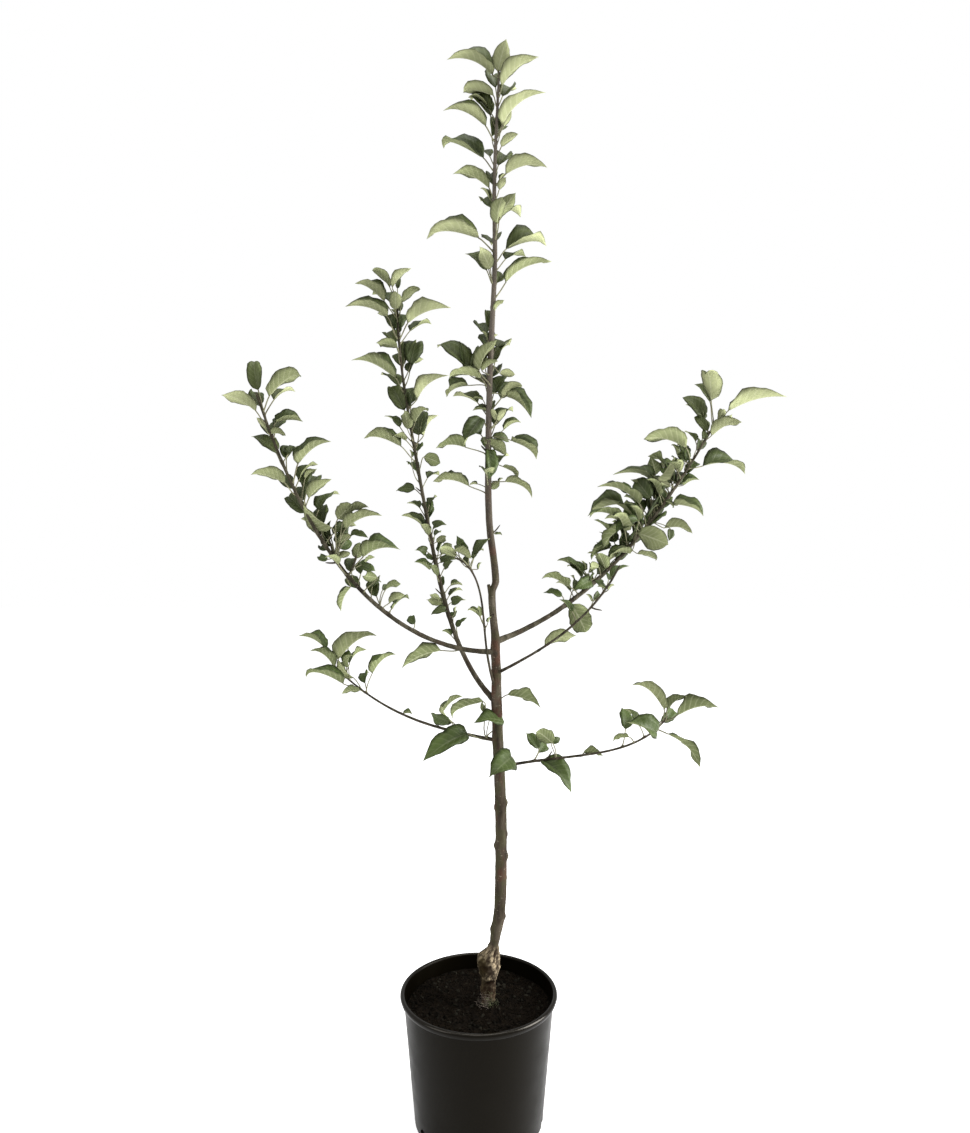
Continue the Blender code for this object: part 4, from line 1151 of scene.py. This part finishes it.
def makeLeaves(leaves):
    chance = random.Random(growth["seed"] + 1)
    blades, stalks = newShape(), newShape()
    for leaf in leaves:
        addBlade(blades, leaf, chance)
        addStalk(stalks, leaf)
    # leaf tones: fresh and painted lighter as lit from above, grown, and deep with painted shade
    tonesByAgeAndLight = ("FreshLit", "Grown", "DeepShaded")
    finishes = [bladeMaterial("leafUpper" + age, colour, 0.48, 0.2, 0.13)
                for age, colour in zip(tonesByAgeAndLight, leafColours["upper"])]
    finishes += [bladeMaterial("leafUnder" + age, colour, 0.8, 0.1, 0.6)
                 for age, colour in zip(tonesByAgeAndLight, leafColours["under"])]
    bladePiece = makePiece("leafBlades", blades, finishes)
    stalkPiece = makePiece("leafStalks", stalks, [stalkMaterial()])
    masses = [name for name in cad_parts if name.endswith("_leaves")]
    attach(bladePiece, "root")
    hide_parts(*masses)
    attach(stalkPiece, "root")
    print("leaves grown:", len(leaves))


# Bark of the trunk and the boughs, with its relief in the mesh
bark = {
    "brown": (0.048, 0.037, 0.026),
    "dark": (0.017, 0.013, 0.010),
    "red": (0.070, 0.034, 0.022),
    "olive": (0.040, 0.036, 0.023),
    "grey": (0.092, 0.080, 0.058),
    "green": (0.047, 0.044, 0.023),
    # pale cork, which also stands for the painted highlight on the union's knobs
    "union": (0.48, 0.385, 0.25),
    "leader": (0.115, 0.099, 0.082),
    # painted shade for hollows and cracks
    "creviceShade": (0.014, 0.0075, 0.0035),
    # olive-brown painted shade for the union's left side
    "leftShade": (0.052, 0.039, 0.014),
    # darker brown painted shade for the stem under the union, towards the soil
    "footShadeBrown": (0.031, 0.017, 0.009),
    "lenticel": (0.30, 0.27, 0.20),
    "unionFade": (0.328, 0.316),  # heights between which the graft union's bark comes in
    "footFade": (0.268, 0.242),
    "leaderFade": (0.98, 1.25),
    "leftShadeFade": (0.019, 0.008),  # sideways, on the union: olive-brown painted shade on its left side
    "relief": (  # share of the radius, how fast it changes round the trunk and up it, its offset
        (0.055, 1.3, 34, (0, 0, 0)), (0.045, 4.2, 60, (5, 0, 0)), (0.03, 9.0, 240, (0, 7, 0)),
    ),
    "unionRelief": ((0.13, 2.7, 85, (2, 3, 0)), (0.10, 7.0, 190, (8, 1, 0))),
    "sharpAngle": 60,
}


def unionBark(tree, relief, across):
    # pale cork on the knobs of the graft union, painted lighter as a highlight, with painted shade dark
    # in its hollows and cracks and olive-brown painted shade on its left side
    # by the relief: painted shade in hollows, pale cork with painted highlight on the knobs
    stops = [(0.28, bark["creviceShade"]), (0.47, bark["brown"]), (0.68, bark["union"])]
    return layered(tree, colourRamp(tree, relief, stops), (
        # painted shade on the union's left side
        (across, *bark["leftShadeFade"], 0.0, 0.62, bark["leftShade"]),
        # painted shade in fine cracks
        (objectNoise(tree, 230.0, 6.0), 0.42, 0.6, 0.0, 0.75, bark["creviceShade"]),
    ))


def barkMaterial(name, base, dark, tint, lenticelShare):
    material, tree, shader = newMaterial(name, 0.8, 0.06)
    place = addNode(tree, "ShaderNodeTexCoord")
    parts = addNode(tree, "ShaderNodeSeparateXYZ")
    link(tree, place.outputs["Object"], parts.inputs["Vector"])
    uv = addNode(tree, "ShaderNodeUVMap", {"uv_map": "UVMap"})
    stored = addNode(tree, "ShaderNodeSeparateXYZ")
    link(tree, uv.outputs["UV"], stored.inputs["Vector"])
    relief, height = stored.outputs["X"], parts.outputs["Z"]
    streaks = objectNoise(tree, 90.0, 5.0, (1, 1, 0.22))
    layers = [
        (objectNoise(tree, 44.0, 4.0, (1, 1, 0.5)), 0.52, 0.62, 0.0, 0.7, tint),
        (objectNoise(tree, 150.0, 2.0, (1, 1, 2.6)), 0.66, 0.72, 0.0, lenticelShare, bark["lenticel"]),
    ]
    if name == "trunkBark":
        layers += [
            (objectNoise(tree, 58.0, 3.0, (1, 1, 0.6)), 0.48, 0.58, 0.0, 0.7, bark["green"]),
            (height, *bark["unionFade"], 0.0, 1.0, unionBark(tree, relief, parts.outputs["X"])),
            # painted shade: darker brown towards the soil, under the union's bulge
            (height, *bark["footFade"], 0.0, 0.7, bark["footShadeBrown"]),
            (height, *bark["leaderFade"], 0.0, 0.72, bark["leader"]),
        ]
    layers += [
        # painted highlight: proud places of the relief paler grey, with the pale rims of scars
        (relief, 0.62, 0.95, 0.0, 0.55, bark["grey"]),
        # painted shade: hollows of the relief darker
        (relief, 0.42, 0.15, 0.0, 0.8, bark["creviceShade"]),
    ]
    colour = colourRamp(tree, streaks, [(0.32, dark), (0.52, base), (0.72, bark["grey"])])
    link(tree, layered(tree, colour, layers), shader.inputs["Base Color"])
    addBump(tree, shader, addMath(tree, "ADD", streaks, objectNoise(tree, 520.0, 4.0)), 0.0012, 0.7)
    return material


def turnGap(angle, bearing):
    return (angle - math.radians(bearing) + math.pi) % (2 * math.pi) - math.pi


def unionUnevenness(height, angle):
    low, high = trunk["line"][0][0], trunk["unionTop"]
    share = (height - low) / (high - low)
    inside = math.sin(math.pi * share) if 0 < share < 1 else 0.0
    return 1 + 0.10 * inside * (math.sin(2 * angle + 8 * share) + math.sin(3 * angle - 8 * share) / 2)


def nubSwell(height, angle, radius):
    total = 0.0
    for place, bearing, out, half in trunk["nubs"]:
        rise = (height - place) / half
        if abs(rise) < 3:
            gap = turnGap(angle, bearing)
            total += out * math.exp(-rise ** 2 - (gap * radius / half) ** 2)
    for bough in boughs.values():
        rise = (height - bough["foot"] - trunk["collarLift"]) / trunk["collarHalf"]
        if abs(rise) < 3:
            gap = turnGap(angle, bough["bearing"][0])
            total += bough["radii"][0] * trunk["collarShare"] * math.exp(-rise ** 2 - gap ** 2)
    for place in trunk["ringScars"]:
        total += trunk["ringOut"] * math.exp(-((height - place) / trunk["ringHalf"]) ** 2)
    eye = trunk["eyeScar"]
    off = math.hypot(height - eye["height"], turnGap(angle, eye["bearing"]) * radius)
    total += eye["out"] * math.exp(-((off - eye["reach"]) / eye["half"]) ** 2)
    return total - eye["out"] * math.exp(-(off / eye["half"]) ** 2 / 2)


def unevenness(rows, way, height):
    return sum(share * noise.noise(way * around + upward * height * climb + Vector(offset))
               for share, around, climb, offset in rows)


def trunkRelief(height, angle, radius):
    way = levelWay(angle)
    high, low = bark["unionFade"]
    union = min(max((high - height) / (high - low), 0), 1)
    return radius * (unevenness(bark["relief"], way, height)
                     + union * unevenness(bark["unionRelief"], way, height))


def budEnd(ring, tip, ahead, steps):
    # the rings of the bud that ends a limb
    return [[tip + ahead * lift + (point - tip) * share for point in ring] for lift, share in steps]


def makeTrunk():
    shape = newShape()
    top = trunk["line"][-1][0]
    count = round((top - trunk["foot"]) / trunk["step"])
    rings, relief = [], []
    for i in range(count + 1):
        height = trunk["foot"] + (top - trunk["foot"]) * i / count
        centre, radius = trunkPoint(height), between(trunk["radii"], height)[0]
        ring, proud = [], []
        for angle in fullTurn(trunk["sides"]):
            raised = trunkRelief(height, angle, radius) + nubSwell(height, angle, radius)
            reach = radius * unionUnevenness(height, angle) + raised
            ring.append(centre + levelWay(angle) * reach)
            proud.append(min(max(0.5 + raised / radius * trunk["proudTone"], 0), 1))
        rings.append(ring)
        relief.append(proud)
    rings += budEnd(rings[count], trunkPoint(top), upward, trunk["budEnd"])
    relief += [relief[count]] * len(trunk["budEnd"])
    addRings(shape, rings, relief=relief)
    addStub(shape)
    finish = barkMaterial("trunkBark", bark["brown"], bark["dark"], bark["red"], 0.6)
    piece = makePiece("trunkBark", shape, [finish], bark["sharpAngle"])
    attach(piece, "root")
    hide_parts("trunk")
    print("trunk made")


def addStub(shape):
    # the cut end of an older leader, left of the kink
    stub = trunk["stub"]
    foot, top = Vector(stub["foot"]), Vector(stub["top"])
    axis = (top - foot).normalized()
    low, high = stub["radii"]
    rings = []
    for share, across in zip(stub["shares"], untwisted([axis] * len(stub["shares"]))):
        radius = low + (high - low) * share ** stub["taper"]
        radius *= stub["cutEdge"] if share == 1 else 1
        ways = [levelWay(angle) * 2 + upward * 9 * share for angle in fullTurn(stub["sides"])]
        radii = [radius * (1 + stub["unevenness"] * noise.noise(way)) for way in ways]
        rings.append(ringAround(foot.lerp(top, share), axis, across, radii))
    addRings(shape, rings)


# Short spurs on the boughs: limb, place, bearing, rise, length and radius in millimetres
spurs = (
    ("leftBough", 0.49, 345, 50, 30, 1.7), ("leftBough", 0.552, 160, 82, 24, 1.7),
    ("leftBough", 0.537, 175, -20, 12, 1.5), ("underRightShoot", 0.75, 340, -30, 12, 1.3),
    ("secondLeader", 0.287, 205, 30, 12, 1.4), ("secondLeader", 0.537, 190, 20, 8, 1.3),
    ("leader", 1.310, 195, 20, 9, 1.8), ("leader", 1.270, 190, 15, 8, 1.8),
    ("leader", 1.196, 195, 25, 10, 1.8), ("leader", 1.055, 5, 30, 16, 1.2),
    ("rightBough", 0.36, 120, 60, 12, 1.6), ("rightBough", 0.50, 280, 50, 12, 1.5),
    ("rightBough", 0.63, 140, 60, 16, 1.6), ("rightBough", 0.76, 200, 50, 14, 1.5),
    ("lowerLeftBough", 0.22, 100, 50, 10, 1.3), ("lowerRightBough", 0.30, 60, 60, 10, 1.3),
)


limbSkin = {
    "sides": 12,
    "lumps": (0.09, 1.1, 70),  # share of the radius, how fast it changes round the limb and along it
    "fine": (0.05, 3.0, 260),
    "nodeOut": 0.0007,
    "nodeMost": 1.2,  # of that, where two leaves leave close together
    "nodeHalf": 0.0035,
    "nodeReach": 0.009,
    "budEnd": ((0.0018, 0.95), (0.0042, 0.6), (0.0058, 0.15)),
    "boughStep": 0.0026,
    "boughSlim": 0.93,  # keeps the bark within the CAD's boughs
    "spurStep": 0.0025,
    "spurFoot": 1.2,
    "spurTaper": 0.35,
}


def addLimb(shape, points, radiusAt, nodes, step, seed):
    # a tube with swollen nodes: nodes hold a place on it and the way it swells
    length = sum((b - a).length for a, b in zip(points, points[1:]))
    lumpShare, lumpTurn, lumpClimb = limbSkin["lumps"]
    fineShare, fineTurn, fineClimb = limbSkin["fine"]
    count = max(4, round(length / step))
    shares = [i / count for i in range(count + 1)]
    ends = [(pointAlong(points, share - 0.02), pointAlong(points, share + 0.02)) for share in shares]
    axes = [(after - before).normalized() for before, after in ends]
    rings = []
    for share, axis, across in zip(shares, axes, untwisted(axes)):
        up = axis.cross(across).normalized()
        near = [(way, (share - place) * length / limbSkin["nodeHalf"]) for place, way in nodes
                if abs(share - place) * length < limbSkin["nodeReach"]]
        radius, radii = radiusAt(share), []
        for angle in fullTurn(limbSkin["sides"]):
            way = across * math.cos(angle) + up * math.sin(angle)
            lumps = noise.noise(way * lumpTurn + Vector((seed, 0, share * length * lumpClimb)))
            fine = noise.noise(way * fineTurn + Vector((0, seed, share * length * fineClimb)))
            swell = sum(max(way.dot(out), 0) * math.exp(-off * off) for out, off in near)
            swell = limbSkin["nodeOut"] * min(swell, limbSkin["nodeMost"])
            radii.append(radius * (1 + lumpShare * lumps + fineShare * fine) + swell)
        rings.append(ringAround(pointAlong(points, share), axis, across, radii))
    addRings(shape, rings + budEnd(rings[-1], points[-1], axes[-1], limbSkin["budEnd"]))


def makeBoughs(leaves):
    shape = newShape()
    for seed, (name, line) in enumerate(boughLines.items()):
        nodes = [(leaf["place"], leaf["outward"]) for leaf in leaves if leaf["limb"] == name]
        addLimb(shape, line, lambda share, name=name: limbSkin["boughSlim"] * radiusOn(name, share),
                nodes, limbSkin["boughStep"], seed + 1)
    for seed, (limb, place, bearing, rise, length, radius) in enumerate(spurs):
        foot, way = placeOn(limb, place), heading(rise, bearing)
        bend = directionOn(limb, place) * length * 0.0003
        points = [foot + way * length * 0.001 * s + bend * s * s for s in (0, 0.25, 0.5, 0.75, 1)]
        thin, taper = radius * 0.001, limbSkin["spurTaper"]
        addLimb(shape, points, lambda share, thin=thin: thin * (limbSkin["spurFoot"] - taper * share),
                [], limbSkin["spurStep"], seed + 20)
    finish = barkMaterial("boughBark", bark["olive"], bark["dark"], bark["brown"], 0.35)
    piece = makePiece("boughBark", shape, [finish], bark["sharpAngle"])
    bare = ("second_leader", "left_bough", "right_bough", "inner_shoot", "under_right_shoot",
            "lower_left_bough", "lower_left_bough_outer", "lower_right_bough",
            "lower_right_bough_outer")
    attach(piece, "root")
    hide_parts(*bare)
    print("boughs made")


# Buds in the axils, set out by Geometry Nodes from one point and direction each
bud = {
    "length": 0.0042,
    "half": 0.0013,
    "change": (0.7, 1.25),
    "taper": (-0.42, 0.62),  # how its width changes with height, and its width at half height
    "scaleBrown": (0.085, 0.048, 0.036),
    "tipGrey": (0.26, 0.22, 0.18),
}


def budTree():
    inputs = (("Length", "NodeSocketFloat"), ("Half", "NodeSocketFloat"),
              ("Finish", "NodeSocketMaterial"))
    tree, given, result = newTree("axilBuds", inputs)
    points = addNode(tree, "GeometryNodeMeshToPoints")
    ball = addNode(tree, "GeometryNodeMeshIcoSphere", inputs={"Subdivisions": 2})
    place = addNode(tree, "GeometryNodeInputPosition")
    parts = addNode(tree, "ShaderNodeSeparateXYZ")
    joined = addNode(tree, "ShaderNodeCombineXYZ")
    pointed = addNode(tree, "GeometryNodeSetPosition")
    size = addNode(tree, "ShaderNodeCombineXYZ")
    aim = addNode(tree, "GeometryNodeInputNamedAttribute", {"data_type": "FLOAT_VECTOR"},
                  {"Name": "aim"})
    turn = addNode(tree, "FunctionNodeAlignRotationToVector", {"axis": "Z"})
    grow = addNode(tree, "FunctionNodeRandomValue", {"data_type": "FLOAT"}, {"Seed": 5})
    grow.inputs[2].default_value, grow.inputs[3].default_value = bud["change"]
    scaled = addNode(tree, "ShaderNodeVectorMath", {"operation": "SCALE"})
    put = addNode(tree, "GeometryNodeInstanceOnPoints")
    realize = addNode(tree, "GeometryNodeRealizeInstances")
    finish = addNode(tree, "GeometryNodeSetMaterial")
    taper = addMath(tree, "MULTIPLY_ADD", parts.outputs["Z"], *bud["taper"])
    for side in ("X", "Y"):
        link(tree, addMath(tree, "MULTIPLY", taper, parts.outputs[side]), joined.inputs[side])
    linkAll(tree, (
        (given, "Geometry", points, "Mesh"), (place, "Position", parts, "Vector"),
        (parts, "Z", joined, "Z"), (ball, "Mesh", pointed, "Geometry"),
        (joined, "Vector", pointed, "Position"), (given, "Half", size, "X"), (given, "Half", size, "Y"),
        (given, "Length", size, "Z"), (size, "Vector", scaled, 0), (grow, 1, scaled, "Scale"),
        (aim, "Attribute", turn, "Vector"), (points, "Points", put, "Points"),
        (pointed, "Geometry", put, "Instance"), (turn, "Rotation", put, "Rotation"),
        (scaled, 0, put, "Scale"), (put, "Instances", realize, "Geometry"),
        (realize, "Geometry", finish, "Geometry"), (given, "Finish", finish, "Material"),
        (finish, "Geometry", result, "Geometry"),
    ))
    return tree


def budMaterial():
    stops = [(0.4, bud["scaleBrown"]), (0.7, bud["tipGrey"])]
    return grainedMaterial("budScales", 0.6, 0.3, (240.0, 4.0), stops, (900.0, 3.0, 0.0004, 0.6))


def makeBuds(leaves):
    places, aims = [], []
    for leaf in leaves:
        along = directionOn(leaf["limb"], leaf["place"])
        aim = (along + leaf["outward"] * 0.75).normalized()
        places.append(leaf["node"] + along * 0.002 + aim * bud["length"] * 0.25)
        aims.append(aim)
    mesh = bpy.data.meshes.new("axilBuds")
    mesh.from_pydata(places, [], [])
    stored = mesh.attributes.new("aim", "FLOAT_VECTOR", "POINT")
    for index, aim in enumerate(aims):
        stored.data[index].vector = aim
    seedPoints = addObject("axilBuds", mesh)
    values = {"Length": bud["length"] / 2, "Half": bud["half"], "Finish": budMaterial()}
    piece = applyNodes(seedPoints, budTree(), values)
    piece.data.shade_smooth()
    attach(piece, "root")
    print("buds made")


# Tuft of fine pale threads in front of the trunk's foot, on the mix and up the bark
sprigs = {
    "count": 190,
    "spread": 0.012,
    "climb": 0.026,  # how high up the bark the tuft reaches
    "bearing": (256, 42),  # middle and spread
    "length": (0.004, 0.012),
    "half": 0.00034,
    "rise": (15, 80),
    "side": (180, 360),  # bearings that its threads take
    "bendRise": (-20, 40),
    "reach": 0.0115,  # from the trunk's axis, on the mix
    "mingle": 0.008,  # over which green threads and straw ones mix
    "shares": (0, 0.35, 0.7, 1.0),
    "green": (0.130, 0.140, 0.075),
    "straw": (0.210, 0.175, 0.145),
    "seed": 31,
}


def sprigMaterial(name, colour):
    return grainedMaterial(name, 0.75, 0.2, (220.0, 3.0), [(0.35, colour), (0.7, shaded(colour, 1.5))])


def sprigStart(chance, onBark):
    out = levelWay(math.radians(chance.gauss(*sprigs["bearing"])))
    if onBark:
        height = mix["level"] + sprigs["climb"] * chance.random() ** 1.3
        return trunkPoint(height) + out * radiusOn("leader", height)
    reach = sprigs["reach"] + sprigs["spread"] * chance.random() ** 1.6
    start = trunkPoint(mix["level"]) + out * reach
    start.z = mixHeight(start.x, start.y) - 0.001
    return start


def makeSprigs():
    chance = random.Random(sprigs["seed"])
    shape = newShape()
    middle = trunk["line"][0][1]
    for index in range(sprigs["count"]):
        start = sprigStart(chance, index % 2)
        length = chance.uniform(*sprigs["length"])
        way = heading(chance.uniform(*sprigs["rise"]), chance.uniform(*sprigs["side"]))
        bend = heading(chance.uniform(*sprigs["bendRise"]), chance.uniform(*sprigs["side"]))
        bend *= length * 0.5
        points = [start + way * length * s + bend * s * s for s in sprigs["shares"]]
        axes = [(b - a).normalized() for a, b in zip(points, points[1:])]
        axes.append(axes[-1])
        rings = [ringAround(point, axis, across, [sprigs["half"] * (1.15 - s)] * 4)
                 for point, axis, across, s in zip(points, axes, untwisted(axes), sprigs["shares"])]
        drift = chance.uniform(-sprigs["mingle"], sprigs["mingle"])
        addRings(shape, rings, finish=int(start.x + drift < middle))
    finishes = [sprigMaterial(kind + "Sprig", sprigs[kind]) for kind in ("green", "straw")]
    piece = makePiece("footSprigs", shape, finishes)
    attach(piece, "root")
    print("sprigs made")


# Floor, world and soft lamps
studio = {
    "floorSide": 14.0,
    "floorSteps": 8,
    "floorColour": (0.90, 0.90, 0.90),
    "floorGlow": 0.62,
    "skyLight": 0.52,
    "lamps": (  # name, place, aim, width, height, power in watts
        ("leftPanel", (-2.4, -1.4, 2.0), (0, 0, 0.9), 1.6, 2.4, 28),
        ("rightPanel", (2.4, -0.3, 1.4), (0, 0, 0.6), 1.5, 2.4, 136),
        ("topPanel", (0.2, -0.3, 3.6), (0, 0, 0.8), 2.4, 2.4, 62),
    ),
}


def makeFloor():
    half, steps = studio["floorSide"] / 2, studio["floorSteps"]
    shape = newShape()
    marks = [half * (2 * i / steps - 1) for i in range(steps + 1)]
    grid = [[addPoint(shape, Vector((x, y, 0))) for x in marks] for y in marks]
    for j in range(steps):
        for i in range(steps):
            addFace(shape, (grid[j][i], grid[j][i + 1], grid[j + 1][i + 1], grid[j + 1][i]))
    material, tree, shader = newMaterial("paleFloor", 0.9, 0.1)
    shader.inputs["Base Color"].default_value = (*studio["floorColour"], 1)
    shader.inputs["Emission Color"].default_value = (1, 1, 1, 1)
    shader.inputs["Emission Strength"].default_value = studio["floorGlow"]
    addBump(tree, shader, objectNoise(tree, 30.0, 3.0), 0.0004, 0.2)
    makePiece("floor", shape, [material])


def makeLight():
    world = bpy.data.worlds.new("studio")
    bpy.context.scene.world = world
    world.use_nodes = True
    tree = world.node_tree
    soft = tree.nodes["Background"]
    soft.inputs["Color"].default_value = (1, 1, 1, 1)
    soft.inputs["Strength"].default_value = studio["skyLight"]
    bright = addNode(tree, "ShaderNodeBackground", inputs={"Color": (1, 1, 1, 1), "Strength": 1.0})
    rays = addNode(tree, "ShaderNodeLightPath")
    mixed = addNode(tree, "ShaderNodeMixShader")
    link(tree, rays.outputs["Is Camera Ray"], mixed.inputs[0])
    link(tree, soft.outputs[0], mixed.inputs[1])
    link(tree, bright.outputs[0], mixed.inputs[2])
    link(tree, mixed.outputs[0], tree.nodes["World Output"].inputs["Surface"])
    for name, place, aim, width, height, power in studio["lamps"]:
        lamp = bpy.data.lights.new(name, "AREA")
        lamp.shape = "RECTANGLE"
        lamp.size, lamp.size_y, lamp.energy = width, height, power
        panel = bpy.data.objects.new(name, lamp)
        panel.location = place
        panel.rotation_euler = (Vector(aim) - Vector(place)).to_track_quat("-Z", "Y").to_euler()
        bpy.context.scene.collection.objects.link(panel)
    bpy.context.scene.view_settings.view_transform = "Standard"
    print("camera, floor and light set")


makeCamera()
makeFloor()
makeLight()
makePot()
makeMix()
makeTrunk()
grownLeaves = growLeaves()
makeBoughs(grownLeaves)
makeLeaves(grownLeaves)
makeBuds(grownLeaves)
makeSprigs()
